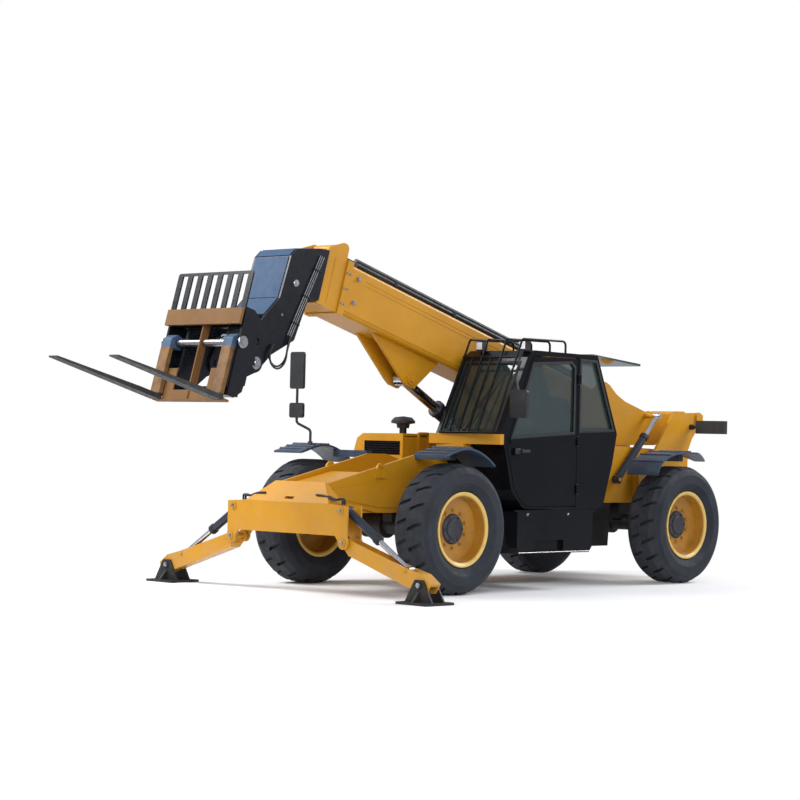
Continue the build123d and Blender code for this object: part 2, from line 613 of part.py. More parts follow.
# ---------------------------------------------------------------- boom
half = BASE_WIDTH / 2
top = -BOOM_DROP + BASE_HEIGHT / 2
bottom = -BOOM_DROP - BASE_HEIGHT / 2
TUBE_START = 1450.0
RING = 80.0
RING_PROUD = 18.0
LIFT_PIN = (4360.0, -920.0)
LIFT_CHEEK_Y = 107.0
LIFT_EYE_PIN = 34.0
LIFTING_EYE_Y = 80.0
LIFT_CHEEK = 30.0
COMP_EYE_PIN = 17.0
COMP_EYE_PIN_LENGTH = 70.0
tail_outline = [
    (30, 70), (140, 52), (290, -30), (640, top + 36), (1080, top + 34), (1250, top + 62), (1400, top + 122),
    (1475, top + 134), (1540, top + 110), (1660, top), (1660, bottom), (1200, bottom), (420, -430),
    (-20, -72),
]
with BuildPart() as boom_base:
    # folded main tube
    tube_x, tube_z = boom_point(TUBE_START, (top + bottom) / 2)
    tube_plane = Plane(
        origin=(tube_x, 0, tube_z), x_dir=(0, 1, 0),
        z_dir=(cos(radians(BOOM_ANGLE)), 0, sin(radians(BOOM_ANGLE)))
    )
    with BuildSketch(tube_plane) as section:
        Rectangle(BASE_WIDTH, BASE_HEIGHT)
        fillet(section.vertices(), 35)
        Rectangle(BASE_WIDTH - 2 * BOOM_WALL, BASE_HEIGHT - 2 * BOOM_WALL, mode=Mode.SUBTRACT)
    extrude(section.sketch, amount=BASE_LENGTH - TUBE_START)
    # front ring and the doubler strips along the lower sides
    boom_block(BASE_LENGTH - RING, BASE_LENGTH, -half - RING_PROUD, half + RING_PROUD, bottom - RING_PROUD,
               top + RING_PROUD)
    boom_block(BASE_LENGTH - RING - 1, BASE_LENGTH + 1, -half + BOOM_WALL, half - BOOM_WALL,
               bottom + BOOM_WALL,
               top - BOOM_WALL, mode=Mode.SUBTRACT)
    for side in (-1, 1):
        boom_block(TUBE_START + 150, BASE_LENGTH - RING, side * half, side * (half + 6), bottom + 40,
                   bottom + 130)
        # tail cheeks from the pivot to the tube
        plate(BOOM, tail_outline, side * (half - 15), 30)
        # cheeks of the lift cylinder's bracket
        plate(
            BOOM,
            [(LIFT_PIN[0] - 330, bottom + 1), (LIFT_PIN[0] + 660, bottom + 1),
             (LIFT_PIN[0] + 130, LIFT_PIN[1] - 45),
             (LIFT_PIN[0] + 60, LIFT_PIN[1] - 75), (LIFT_PIN[0] - 70, LIFT_PIN[1] - 75)],
            side * LIFT_CHEEK_Y, LIFT_CHEEK,
        )
        disc(BOOM, LIFT_PIN, 62, side * (LIFT_CHEEK_Y + 20), 22)
        # outer end of the pin of the lift cylinder's rod
        disc(BOOM, LIFT_PIN, LIFT_EYE_PIN, side * (LIFT_CHEEK_Y + 24), 44)
        # wear pad bosses near the front ring
        for t in (top - 110, bottom + 150):
            disc(BOOM, (BASE_LENGTH - 190, t), 26, side * (half + 3), 8)
    # inner end of the pin of the levelling cylinder's rod, on a boss
    bar_y(*COMP_EYE, COMP_EYE_PIN + 10, half - 1, COMP_Y - COMP_EYE_PIN_LENGTH / 2 - PIN_GAP)
    disc(BOOM, (0, 0), BOOM_PIVOT_RADIUS + 45, 0, BASE_WIDTH)
    disc(BOOM, (0, 0), BOOM_PIVOT_RADIUS, 0, BASE_WIDTH + 10, Mode.SUBTRACT)
    # lifting eye on the top of the tube
    rounded_plate(
        BOOM, [(3640, top - 5), (3760, top - 5), (3735, top + 62), (3665, top + 62)], 14, LIFTING_EYE_Y, 24
    )
    disc(BOOM, (3700, top + 32), 16, LIFTING_EYE_Y, 30, Mode.SUBTRACT)
save(boom_base.part, "boom_base")

inset = BOOM_WALL + SECTION_GAP
MID_WALL = 12.0
MID_START = 1700.0
mid_half = half - inset
mid_top = top - inset
mid_bottom = bottom + inset
mid_end = BASE_LENGTH + MID_NOSE
with BuildPart() as boom_mid:
    boom_block(MID_START, mid_end, -mid_half, mid_half, mid_bottom, mid_top)
    # nose of the middle section, as deep as the base tube, with a raised ear each side on top
    plate(
        BOOM,
        [(BASE_LENGTH + SIDE_FIT, bottom - 8), (mid_end, bottom - 8), (mid_end, top + 8),
         (BASE_LENGTH + SIDE_FIT, top + 8)],
        0, BASE_WIDTH,
    )
    boom_block(MID_START - 1, mid_end + 1, -mid_half + MID_WALL, mid_half - MID_WALL, mid_bottom + MID_WALL,
               mid_top - MID_WALL, mode=Mode.SUBTRACT)
    for side in (-1, 1):
        plate(
            BOOM,
            [(BASE_LENGTH + SIDE_FIT, top), (BASE_LENGTH + 12, top + 130), (BASE_LENGTH + 40, top + 158),
             (BASE_LENGTH + 90, top + 158), (mid_end - 20, top + 55), (mid_end, top)],
            side * (half - 12), 24,
        )
    disc(BOOM, (BASE_LENGTH + 70, top + 105), 45, 0, BASE_WIDTH - 48)
    boom_block(BASE_LENGTH + 150, BASE_LENGTH + 158, -half - 4, half + 4, bottom + 30, top - 20)
    boom_block(MID_START - 1, mid_end + 1, -mid_half + MID_WALL, mid_half - MID_WALL, mid_bottom + MID_WALL,
               mid_top - MID_WALL, mode=Mode.SUBTRACT)
save(boom_mid.part, "boom_mid")

fly_inset = 2 * inset - 2
FLY_WALL = 12.0
FLY_START = 1900.0
fly_half = half - fly_inset
fly_top = top - fly_inset
fly_bottom = bottom + fly_inset
head_s = mid_end + 10.0
TILT_PIVOT = (head_s + 625.0, -1470.0)
TILT_BASE = (head_s + 245.0, -800.0)
TILT_EYE = (head_s + 770.0, -1290.0)
TILT_PIN_RADIUS = 32.0
TILT_EYE_PIN = 24.0
TILT_EYE_PIN_LENGTH = 120.0
head_outline = [
    (head_s, -160), (head_s + 60, -165), (head_s + 405, -290), (head_s + 458, -375), (head_s + 480, -795),
    (head_s + 655, -1090), (head_s + 705, -1420), (head_s + 660, -1550), (head_s + 560, -1545),
    (head_s + 425, -1325), (head_s + 190, -1110), (head_s + 133, -700), (head_s, -655),
]
front_cover = [
    (head_s + 60, -165), (head_s + 405, -290), (head_s + 458, -375), (head_s + 480, -795),
    (head_s + 602.5, -1001.5),
]
COVER_GAUGE = 20.0
cover_normals = []
for start, end in zip(front_cover[:-1], front_cover[1:]):
    run = Vector(*end) - Vector(*start)
    cover_normals.append(Vector(run.Y, -run.X).normalized())
fold_normals = [cover_normals[0]]
for before, after in zip(cover_normals[:-1], cover_normals[1:]):
    fold_normals.append((before + after) / (1 + before.dot(after)))
fold_normals.append(cover_normals[-1])
cover_inside = [
    (s + normal.X * COVER_GAUGE, t + normal.Y * COVER_GAUGE) for (s, t), normal in zip(front_cover, fold_normals)
]
with BuildPart() as boom_fly:
    boom_block(FLY_START, head_s + 20, -fly_half, fly_half, fly_bottom, fly_top)
    boom_block(FLY_START - 1, head_s - 20, -fly_half + FLY_WALL, fly_half - FLY_WALL, fly_bottom + FLY_WALL,
               fly_top - FLY_WALL, mode=Mode.SUBTRACT)
    for side in (-1, 1):
        plate(BOOM, head_outline, side * (HEAD_Y - HEAD_PLATE / 2), HEAD_PLATE)
        disc(BOOM, TILT_PIVOT, 92, side * (HEAD_Y - HEAD_PLATE / 2), HEAD_PLATE)
    boom_block(head_s, head_s + 25, -HEAD_Y, HEAD_Y, -655, -160)
    # folded front cover and the rear cover between the side plates
    plate(BOOM, [*front_cover, *reversed(cover_inside)], 0, 2 * HEAD_Y - 2)
    plate(
        BOOM,
        [(head_s + 133, -700), (head_s + 190, -1110), (head_s + 215, -1110), (head_s + 158, -690),
         (head_s + 20, -640), (head_s, -655)],
        0, 2 * HEAD_Y - 2,
    )
    disc(BOOM, TILT_BASE, TILT_PIN_RADIUS, 0, 2 * HEAD_Y - 2)
    # pivot pins, one each side, so that the cylinder passes between them
    for side in (-1, 1):
        disc(BOOM, TILT_PIVOT, TILT_PIN_RADIUS, side * (HEAD_Y + 10), 90)
save(boom_fly.part, "boom_fly")

# ---------------------------------------------------------------- carriage
carriage_s = head_s + 1070.0
FORK_BAR = (carriage_s - 42.0, -1410.0)
BEAM_TOP = -1112.0
BEAM_DEPTH = 148.0
HEEL_T = BEAM_TOP - CARRIAGE_HEIGHT
EAR_Y = HEAD_Y + SIDE_FIT + 15.0
TILT_FIT = 0.1
SIDE_PLATE = 24.0
side_y = CARRIAGE_HALF - SIDE_PLATE / 2
with BuildPart() as coupler:
    for side in (-1, 1):
        # ear beside the boom head, from the tilt pivot to the back of the carriage
        plate(
            BOOM,
            [(TILT_PIVOT[0] - 75, TILT_PIVOT[1] + 30), (head_s + 670, -1130), (head_s + 740, -1100),
             (carriage_s - 60, BEAM_TOP - 30), (carriage_s - 60, HEEL_T + 60),
             (carriage_s - 170, HEEL_T + 70), (TILT_PIVOT[0] + 60, TILT_PIVOT[1] - 150),
             (TILT_PIVOT[0] - 60, TILT_PIVOT[1] - 60)],
            side * EAR_Y, 30,
        )
        disc(BOOM, TILT_PIVOT, 88, side * EAR_Y, 30)
        disc(BOOM, TILT_PIVOT, TILT_PIN_RADIUS + TILT_FIT, side * EAR_Y, 40, Mode.SUBTRACT)
        # outer side plate of the fork carriage
        plate(
            BOOM,
            [(carriage_s - 6, BEAM_TOP + 22), (carriage_s - 110, BEAM_TOP + 22),
             (carriage_s - 250, BEAM_TOP - 60),
             (carriage_s - 235, HEEL_T + 400), (carriage_s - 190, HEEL_T + 330),
             (carriage_s - 175, HEEL_T + 130),
             (carriage_s - 95, HEEL_T + 52), (carriage_s - 16, HEEL_T + 52)],
            side * side_y, SIDE_PLATE,
        )
        disc(BOOM, (carriage_s - 210, FORK_BAR[1] + 65), 34, side * side_y, 40, Mode.SUBTRACT)
        # keeper of the fork bar on the side plate
        disc(BOOM, FORK_BAR, FORK_BAR_RADIUS + 20, side * (CARRIAGE_HALF + 6), 12)
        # lug that stops the carriage against the head, with its pin
        rounded_plate(
            BOOM,
            [(carriage_s - 215, HEEL_T + 190), (carriage_s - 130, HEEL_T + 190),
             (carriage_s - 130, HEEL_T + 290),
             (carriage_s - 215, HEEL_T + 290)],
            18, side * (CARRIAGE_HALF - SIDE_PLATE - 10), 20,
        )
    cross_half = CARRIAGE_HALF - SIDE_PLATE
    boom_block(carriage_s - 160, carriage_s - 100, -cross_half, cross_half, BEAM_TOP - 130, BEAM_TOP - 40)
    boom_block(carriage_s - 160, carriage_s - 80, -cross_half, cross_half, HEEL_T + 75, HEEL_T + 155)
    disc(BOOM, FORK_BAR, FORK_BAR_RADIUS, 0, 2 * CARRIAGE_HALF)
    # outer ends of the cross pin of the tilt cylinder's rod, whose middle is on the rod
    stub_y = TILT_EYE_PIN_LENGTH / 2 + PIN_GAP
    for side in (-1, 1):
        disc(BOOM, TILT_EYE, TILT_EYE_PIN, side * (stub_y + EAR_Y) / 2, EAR_Y - stub_y)
save(coupler.part, "coupler")

GUSSET_Y = FORK_Y - FORK_WIDTH / 2 - 6.0
with BuildPart() as carriage_frame:
    # folded top beam in front of the side plates
    plate(
        BOOM,
        [(carriage_s + 12, BEAM_TOP), (carriage_s + 42, BEAM_TOP), (carriage_s + 42, BEAM_TOP - BEAM_DEPTH),
         (carriage_s + 12, BEAM_TOP - BEAM_DEPTH)],
        0, 2 * CARRIAGE_HALF,
    )
    boom_block(carriage_s - 90, carriage_s + 13, -cross_half, cross_half, BEAM_TOP - 18, BEAM_TOP)
    # thin centre rib, cut round the fork bar
    plate(
        BOOM,
        [(carriage_s + 12, BEAM_TOP - BEAM_DEPTH + 5), (carriage_s - 70, BEAM_TOP - BEAM_DEPTH + 5),
         (carriage_s - 70, HEEL_T + 20), (carriage_s + 12, HEEL_T + 20)],
        0, 14,
    )
    plate(
        BOOM,
        [(carriage_s + 12, BEAM_TOP - 5), (carriage_s - 70, BEAM_TOP - 5),
         (carriage_s - 70, BEAM_TOP - BEAM_DEPTH),
         (carriage_s + 12, BEAM_TOP - BEAM_DEPTH)],
        0, 14,
    )
    disc(BOOM, FORK_BAR, FORK_BAR_RADIUS + 0.3, 0, 20, Mode.SUBTRACT)
    boom_block(carriage_s - 70, carriage_s, -cross_half, cross_half, HEEL_T + 2, HEEL_T + 22)
    boom_block(carriage_s - 14, carriage_s, -GUSSET_Y, GUSSET_Y, HEEL_T + 4, HEEL_T + 96)
    for side in (-1, 1):
        # gusset between the shank of the fork and the bottom rail
        plate(
            BOOM,
            [(carriage_s - 14, HEEL_T + 90), (carriage_s, HEEL_T + 90), (carriage_s, HEEL_T + 300),
             (carriage_s - 14, HEEL_T + 300)],
            side * (GUSSET_Y - 60), 120,
        )
save(carriage_frame.part, "carriage_frame")

RACK_T = BEAM_TOP + RACK_HEIGHT
with BuildPart() as load_rack:
    rack_pitch = (2 * CARRIAGE_HALF - RACK_BAR) / (RACK_BARS - 1)
    for i in range(RACK_BARS):
        y = -CARRIAGE_HALF + RACK_BAR / 2 + i * rack_pitch
        boom_block(carriage_s - 4, carriage_s + 12, y - RACK_BAR / 2, y + RACK_BAR / 2, BEAM_TOP + 0.5,
                   RACK_T - 25)
    boom_block(carriage_s - 4, carriage_s + 12, -CARRIAGE_HALF + 25, CARRIAGE_HALF - 25, RACK_T - 26, RACK_T)
    for side in (-1, 1):
        with BuildSketch(Plane(origin=(*boom_point(carriage_s - 4, 0)[:1], 0,
                                       boom_point(carriage_s - 4, 0)[1]),
                               x_dir=(0, 1, 0),
                               z_dir=(cos(radians(BOOM_ANGLE)), 0, sin(radians(BOOM_ANGLE))))) as corner:
            with Locations((side * (CARRIAGE_HALF - 25), RACK_T - 25)):
                Circle(25)
        extrude(corner.sketch, amount=16)
save(load_rack.part, "load_rack")

EYE_HALF = 55.0
BLADE_TIP = 14.0
with BuildPart() as forks:
    for side in (-1, 1):
        y = side * FORK_Y
        # eye block that rides on the fork bar, shank and tapered blade
        rounded_plate(
            BOOM,
            [(FORK_BAR[0] - EYE_HALF, FORK_BAR[1] - EYE_HALF),
             (carriage_s + FORK_THICK, FORK_BAR[1] - EYE_HALF),
             (carriage_s + FORK_THICK, FORK_BAR[1] + 20), (FORK_BAR[0] + 20, FORK_BAR[1] + EYE_HALF + 20),
             (FORK_BAR[0] - EYE_HALF, FORK_BAR[1] + EYE_HALF)],
            14, y, FORK_WIDTH,
        )
        boom_block(carriage_s + 1, carriage_s + 1 + FORK_THICK, y - FORK_WIDTH / 2, y + FORK_WIDTH / 2,
                   HEEL_T + 30,
                   FORK_BAR[1] - 20)
        with BuildSketch(BOOM.offset(-y)) as blade:
            with BuildLine():
                Polyline(
                    (carriage_s + 1, HEEL_T + 40), (carriage_s + 1, HEEL_T + 20), (carriage_s + 21, HEEL_T),
                    (carriage_s + FORK_LENGTH, HEEL_T), (carriage_s + FORK_LENGTH, HEEL_T + BLADE_TIP),
                    (carriage_s + 250, HEEL_T + FORK_THICK),
                    (carriage_s + 1 + FORK_THICK, HEEL_T + FORK_THICK),
                    (carriage_s + 1 + FORK_THICK, HEEL_T + 60), (carriage_s + 1, HEEL_T + 60), close=True,
                )
            make_face()
        extrude(blade.sketch, amount=FORK_WIDTH / 2, both=True)
        disc(BOOM, FORK_BAR, FORK_BAR_RADIUS + 0.3, y, FORK_WIDTH + 10, Mode.SUBTRACT)
save(forks.part, "forks")

# ---------------------------------------------------------------- boom cylinders
ram(
    LIFT_BASE, boom_point(*LIFT_PIN), SIDE, 0, 80, 50, 2700, 2250, LIFT_PIN_RADIUS, LIFT_EYE_PIN,
    2 * LIFT_CHEEK_Y - LIFT_CHEEK - 2 * PIN_GAP, "lift_ram",
)
ram(
    COMP_BASE, COMP_EYE, SIDE, COMP_Y, 42, 25, 680, 790, COMP_PIN_RADIUS, COMP_EYE_PIN, COMP_EYE_PIN_LENGTH,
    "levelling_ram",
)
ram(
    boom_point(*TILT_BASE), boom_point(*TILT_EYE), SIDE, 0, 55, 35, 450, 600, TILT_PIN_RADIUS, TILT_EYE_PIN,
    TILT_EYE_PIN_LENGTH, "tilt_ram",
)


# ---------------------------------------------------------------- cab
sill_x = CAB_X + 1130.0
cab_outline = [
    (CAB_X - 448, CAB_FLOOR_Z + 31), (CAB_X - 420, CAB_FLOOR_Z), (CAB_X + 780, CAB_FLOOR_Z),
    (CAB_X + 835, CAB_FLOOR_Z + 15), (CAB_X + 1008, 994), (CAB_X + 1059, 1187), (CAB_X + 1111, 1379),
    (sill_x, CAB_SILL_Z), (sill_x, CAB_SILL_Z + SILL_HEIGHT + 1),
    (sill_x + 50, CAB_SILL_Z + SILL_HEIGHT + 1),
    (CAB_X + 800, 2290), (CAB_X + 690, CAB_TOP_Z), (CAB_X - 310, CAB_TOP_Z - 10), (CAB_X - 655, 1565),
    (CAB_X - 583, 1248),
]
door_outline = [
    (CAB_X + 5, 835), (CAB_X + 750, 835), (CAB_X + 830, 865), (CAB_X + 960, 1010), (CAB_X + 1010, 1200),
    (CAB_X + 1085, 1420), (CAB_X + 745, 2245), (CAB_X + 690, 2300), (CAB_X + 5, 2305),
]
window_outline = [
    (CAB_X + 55, 1560), (CAB_X + 1010, 1500), (CAB_X + 705, 2225), (CAB_X + 110, 2260), (CAB_X + 55, 2210)
]
quarter_outline = [(CAB_X - 40, 1580), (CAB_X - 585, 1600), (CAB_X - 290, 2285), (CAB_X - 40, 2290)]
right_outline = [(CAB_X - 480, 1620), (CAB_X + 1040, 1560), (CAB_X + 740, 2240), (CAB_X - 260, 2260)]
cab_front = [(sill_x + 50, CAB_SILL_Z + SILL_HEIGHT + 1), (CAB_X + 800, 2290)]
cab_rear = [(CAB_X - 655, 1565), (CAB_X - 310, CAB_TOP_Z - 10)]
left_y = CAB_OUTER_Y - CAB_WALL / 2


def outline_plate(points, inset_by, y, thickness, mode=Mode.ADD):
    """Plate of a side outline made smaller all round by a margin."""
    with BuildSketch(SIDE.offset(-y)) as outline:
        with BuildLine():
            Polyline(*points, close=True)
        make_face()
        offset(amount=-inset_by, kind=Kind.INTERSECTION)
    extrude(outline.sketch, amount=thickness / 2, both=True, mode=mode)


with BuildPart() as cab_sides:
    # left wall, with the doorway and the fixed quarter window
    plate(SIDE, cab_outline, left_y, CAB_WALL)
    outline_plate(door_outline, -DOOR_GAP, left_y, CAB_WALL + 2, Mode.SUBTRACT)
    plate(SIDE, quarter_outline, left_y, CAB_WALL + 2, Mode.SUBTRACT)
    # door hinge pins on the post
    for z in (1000, 1480, 2100):
        bar_z(CAB_X, CAB_OUTER_Y + HINGE_RADIUS, HINGE_RADIUS, z - 45, z + 45)
        block(CAB_X - 40, CAB_X - 2, CAB_OUTER_Y - 1, CAB_OUTER_Y + 6, z - 45, z + 45)
        block(CAB_X - 8, CAB_X, CAB_OUTER_Y, CAB_OUTER_Y + HINGE_RADIUS, z - 45, z + 45)
    # right wall, stepped in over the side frame
    outline_plate(cab_outline, 0, CAB_SHOULDER_Y + CAB_WALL / 2, CAB_WALL)
    block(CAB_X - 700, CAB_X + 1300, CAB_SHOULDER_Y - 1, CAB_SHOULDER_Y + CAB_WALL + 1, CAB_FLOOR_Z - 10,
          CAB_SHOULDER_Z, mode=Mode.SUBTRACT)
    plate(SIDE, right_outline, CAB_SHOULDER_Y + CAB_WALL / 2, CAB_WALL + 2, Mode.SUBTRACT)
save(cab_sides.part, "cab_sides")

with BuildPart() as cab_frame:
    # floor, front, roof and rear in one band between the side walls
    band_y = (CAB_SHOULDER_Y + CAB_OUTER_Y) / 2
    band_width = CAB_OUTER_Y - CAB_SHOULDER_Y - 2 * CAB_WALL
    outline_plate(cab_outline, 0, band_y, band_width)
    block(CAB_X - 700, CAB_X + 1300, CAB_SHOULDER_Y, CAB_INNER_Y, CAB_FLOOR_Z - 10, CAB_SHOULDER_Z,
          mode=Mode.SUBTRACT)
    room_width = CAB_OUTER_Y - CAB_INNER_Y - 2 * CAB_WALL
    outline_plate(cab_outline, CAB_WALL, (CAB_OUTER_Y + CAB_INNER_Y) / 2 + 1, room_width + 2, Mode.SUBTRACT)
    with BuildSketch(SIDE.offset(-band_y)) as upper_room:
        with BuildLine():
            Polyline(*cab_outline, close=True)
        make_face()
        offset(amount=-CAB_WALL, kind=Kind.INTERSECTION)
        with Locations((CAB_X, CAB_SHOULDER_Z + CAB_WALL - 1000)):
            Rectangle(3000, 2000, mode=Mode.SUBTRACT)
    extrude(upper_room.sketch, amount=band_width / 2 + 1, both=True, mode=Mode.SUBTRACT)
    # windscreen and rear window openings
    for (x0, z0), (x1, z1), low, high in (
        (cab_front[0], cab_front[1], 0.04, 0.93), (cab_rear[0], cab_rear[1], 0.08, 0.92)
    ):
        a = (x0 + low * (x1 - x0), z0 + low * (z1 - z0))
        b = (x0 + high * (x1 - x0), z0 + high * (z1 - z0))
        plate(SIDE, [(a[0] - 150, a[1]), (a[0] + 150, a[1]), (b[0] + 150, b[1]), (b[0] - 150, b[1])],
              band_y, band_width - 70, Mode.SUBTRACT)
    # heater box and dash behind the windscreen
    block(CAB_X + 900, CAB_X + 1020, 460, 1000, 1250, 1440)
save(cab_frame.part, "cab_frame")

with BuildPart() as cab_door:
    plate(SIDE, door_outline, left_y, CAB_WALL)
    plate(SIDE, window_outline, left_y, CAB_WALL + 2, Mode.SUBTRACT)
    # pressed belt below the window, grab handle and latch
    plate(SIDE, [(CAB_X + 20, 1500), (CAB_X + 20, 1545), (CAB_X + 1040, 1480), (CAB_X + 1040, 1440)],
          CAB_OUTER_Y + 4, 10)
    block(CAB_X + 900, CAB_X + 990, CAB_OUTER_Y - 1, CAB_OUTER_Y + 22, 1330, 1400)
save(cab_door.part, "cab_door")

with BuildPart() as door_glass:
    outline_plate(window_outline, 1, left_y, GLASS)
save(door_glass.part, "door_glass")

with BuildPart() as cab_glass:
    outline_plate(quarter_outline, 1, left_y, GLASS)
    outline_plate(right_outline, 1, CAB_SHOULDER_Y + CAB_WALL / 2, GLASS)
    for (x0, z0), (x1, z1), low, high in ((cab_front[0], cab_front[1], 0.04, 0.93),):
        a = (x0 + low * (x1 - x0), z0 + low * (z1 - z0) + 1)
        b = (x0 + high * (x1 - x0), z0 + high * (z1 - z0) - 1)
        plate(SIDE, [(a[0] - 22, a[1]), (a[0] - 14, a[1]), (b[0] - 14, b[1]), (b[0] - 22, b[1])],
              band_y, band_width - 72)
    # rear window, propped open above the tail
    plate(
        SIDE,
        [(CAB_X - 330, CAB_TOP_Z - 8), (CAB_X - 330, CAB_TOP_Z + 8), (CAB_X - 1130, CAB_TOP_Z - 60),
         (CAB_X - 1130, CAB_TOP_Z - 84)],
        band_y + 20, band_width - 110,
    )
save(cab_glass.part, "cab_glass")

with BuildPart() as seat:
    block(CAB_X - 130, CAB_X + 350, 480, 900, 1160, 1290)
    with BuildSketch(SIDE.offset(-690)) as backrest:
        with BuildLine():
            Polyline(
                (CAB_X - 140, 1280), (CAB_X - 10, 1280), (CAB_X - 90, 1880), (CAB_X - 120, 1950),
                (CAB_X - 210, 1940), (CAB_X - 215, 1860), close=True,
            )
        make_face()
    extrude(backrest.sketch, amount=205, both=True)
    block(CAB_X - 50, CAB_X + 250, 560, 820, CAB_FLOOR_Z + CAB_WALL, 1165)
save(seat.part, "seat")

with BuildPart() as controls:
    # pedestal, steering column and wheel
    block(CAB_X + 670, CAB_X + 755, 600, 780, CAB_FLOOR_Z + CAB_WALL, 1300)
    bar_between((CAB_X + 715, 690, 1270), (CAB_X + 620, 690, 1430), 32)
    wheel_plane = Plane(origin=(CAB_X + 620, 690, 1430), z_dir=(-0.75, 0, 0.66))
    with BuildSketch(wheel_plane) as spokes:
        Rectangle(36, 360)
        Rectangle(300, 30)
        Circle(45)
    extrude(spokes.sketch, amount=14, both=True)
    with BuildSketch(wheel_plane) as wheel_rim:
        Circle(200)
        Circle(172, mode=Mode.SUBTRACT)
    extrude(wheel_rim.sketch, amount=14, both=True)
    # joystick console beside the seat
    block(CAB_X - 60, CAB_X + 380, 395, 470, CAB_FLOOR_Z + CAB_WALL, 1380)
    bar_between((CAB_X + 300, 432, 1370), (CAB_X + 330, 432, 1520), 22)
save(controls.part, "controls")

# Tank and steps under the door
STEP_TOP_Z = 780.0
with BuildPart() as side_step:
    plate(
        SIDE,
        [(CAB_X - 280, STEP_TOP_Z), (CAB_X - 280, 430), (CAB_X - 230, BELLY_Z), (CAB_X + 840, BELLY_Z),
         (CAB_X + 900, 430), (CAB_X + 900, STEP_TOP_Z)],
        (FRAME_OUTER_Y + 2 + CAB_OUTER_Y) / 2, CAB_OUTER_Y - FRAME_OUTER_Y - 2,
    )
    # foot rail cut out of the lower edge
    block(CAB_X + 180, CAB_X + 640, CAB_OUTER_Y - 40, CAB_OUTER_Y + 1, BELLY_Z + 30, BELLY_Z + 130,
          mode=Mode.SUBTRACT)
    # rail along the top edge
    block(CAB_X - 310, CAB_X + 940, CAB_OUTER_Y - 30, CAB_OUTER_Y, STEP_TOP_Z - 1, STEP_TOP_Z + 18)
save(side_step.part, "side_step")

# ---------------------------------------------------------------- fenders
FENDER_SHELL = 20.0
FENDER_OUTER_Y = 1150.0


def arched_shell(points, drop, y0, y1):
    """Moulded shell across a smooth line over the wheel, with ribs moulded across it."""
    with BuildSketch(SIDE.offset(-(y0 + y1) / 2)) as section:
        with BuildLine():
            upper = Spline(*points)
            lower = Spline(*[(x, z - drop) for x, z in points])
            Line(upper @ 0, lower @ 0)
            Line(upper @ 1, lower @ 1)
        make_face()
    extrude(section.sketch, amount=abs(y1 - y0) / 2, both=True)
    for share in (0.12, 0.24, 0.36, 0.5):
        rib = upper @ share
        bar_y(rib.X, rib.Y, 13, y0, y1)


front_arch = [
    (FRONT_AXLE_X + 320, 1318), (FRONT_AXLE_X + 200, 1352), (FRONT_AXLE_X + 20, 1392),
    (FRONT_AXLE_X - 200, 1352),
    (FRONT_AXLE_X - 405, 1232),
]
rear_arch = [
    (REAR_AXLE_X + 575, 1165), (REAR_AXLE_X + 520, 1262), (REAR_AXLE_X + 390, 1345),
    (REAR_AXLE_X + 60, 1395),
    (REAR_AXLE_X - 300, 1378), (REAR_AXLE_X - 640, 1312),
]
MAST_X = FRONT_AXLE_X + 100.0
MAST_Y = 860.0
MAST_FOOT_Z = 1418.0
with BuildPart() as fenders:
    for side in (-1, 1):
        arched_shell(front_arch, FENDER_SHELL, side * 755, side * FENDER_OUTER_Y)
        block(FRONT_AXLE_X - 240, FRONT_AXLE_X - 160, side * (FRAME_OUTER_Y + 0.5), side * 790, 1270, 1340)
        arched_shell(rear_arch, FENDER_SHELL, side * 745, side * FENDER_OUTER_Y)
        block(REAR_AXLE_X - 360, REAR_AXLE_X - 280, side * (TOWER_OUTER_Y + 0.5), side * 790, 1290, 1366)
        # the rear end runs out slantwise from the outer edge
        with BuildSketch(Plane.XY.offset(1000)) as slant:
            with BuildLine():
                Polyline(
                    (REAR_AXLE_X - 130, side * (FENDER_OUTER_Y + 1)), (REAR_AXLE_X - 700, side * 850),
                    (REAR_AXLE_X - 700, side * (FENDER_OUTER_Y + 1)), close=True,
                )
            make_face()
        extrude(slant.sketch, amount=600, mode=Mode.SUBTRACT)
    # foot of the mirror mast
    bar_z(MAST_X, -MAST_Y, 24, 1360, MAST_FOOT_Z)
save(fenders.part, "fenders")

# ---------------------------------------------------------------- engine side
hood_rear_x = HOOD_FRONT_X - HOOD_LENGTH
hood_mid_x = (HOOD_FRONT_X + hood_rear_x) / 2
hood_section = [
    (HOOD_INNER_Y - HINGE_RADIUS - 4, HOOD_TOP_Z), (HOOD_OUTER_Y + 120, HOOD_TOP_Z - 5),
    (HOOD_OUTER_Y + 40, HOOD_TOP_Z - 55), (HOOD_OUTER_Y, HOOD_TOP_Z - 170), (HOOD_OUTER_Y, HOOD_SPLIT_Z),
    (HOOD_INNER_Y - HINGE_RADIUS - 4, HOOD_SPLIT_Z + 150),
]
hood_hollow = [
    (HOOD_INNER_Y + 50, HOOD_TOP_Z - HOOD_WALL), (HOOD_OUTER_Y + 128, HOOD_TOP_Z - 5 - HOOD_WALL),
    (HOOD_OUTER_Y + 60, HOOD_TOP_Z - 72), (HOOD_OUTER_Y + HOOD_WALL, HOOD_TOP_Z - 175),
    (HOOD_OUTER_Y + HOOD_WALL, HOOD_SPLIT_Z - 200), (HOOD_INNER_Y + 50, HOOD_SPLIT_Z - 200),
]
POST_SPREAD = 75.0
GRILLE_SLATS = 6
grille_z0 = HOOD_TOP_Z - 220.0
grille_height = 140.0
PRECLEANER = (FRONT_AXLE_X - 1090.0, -700.0)
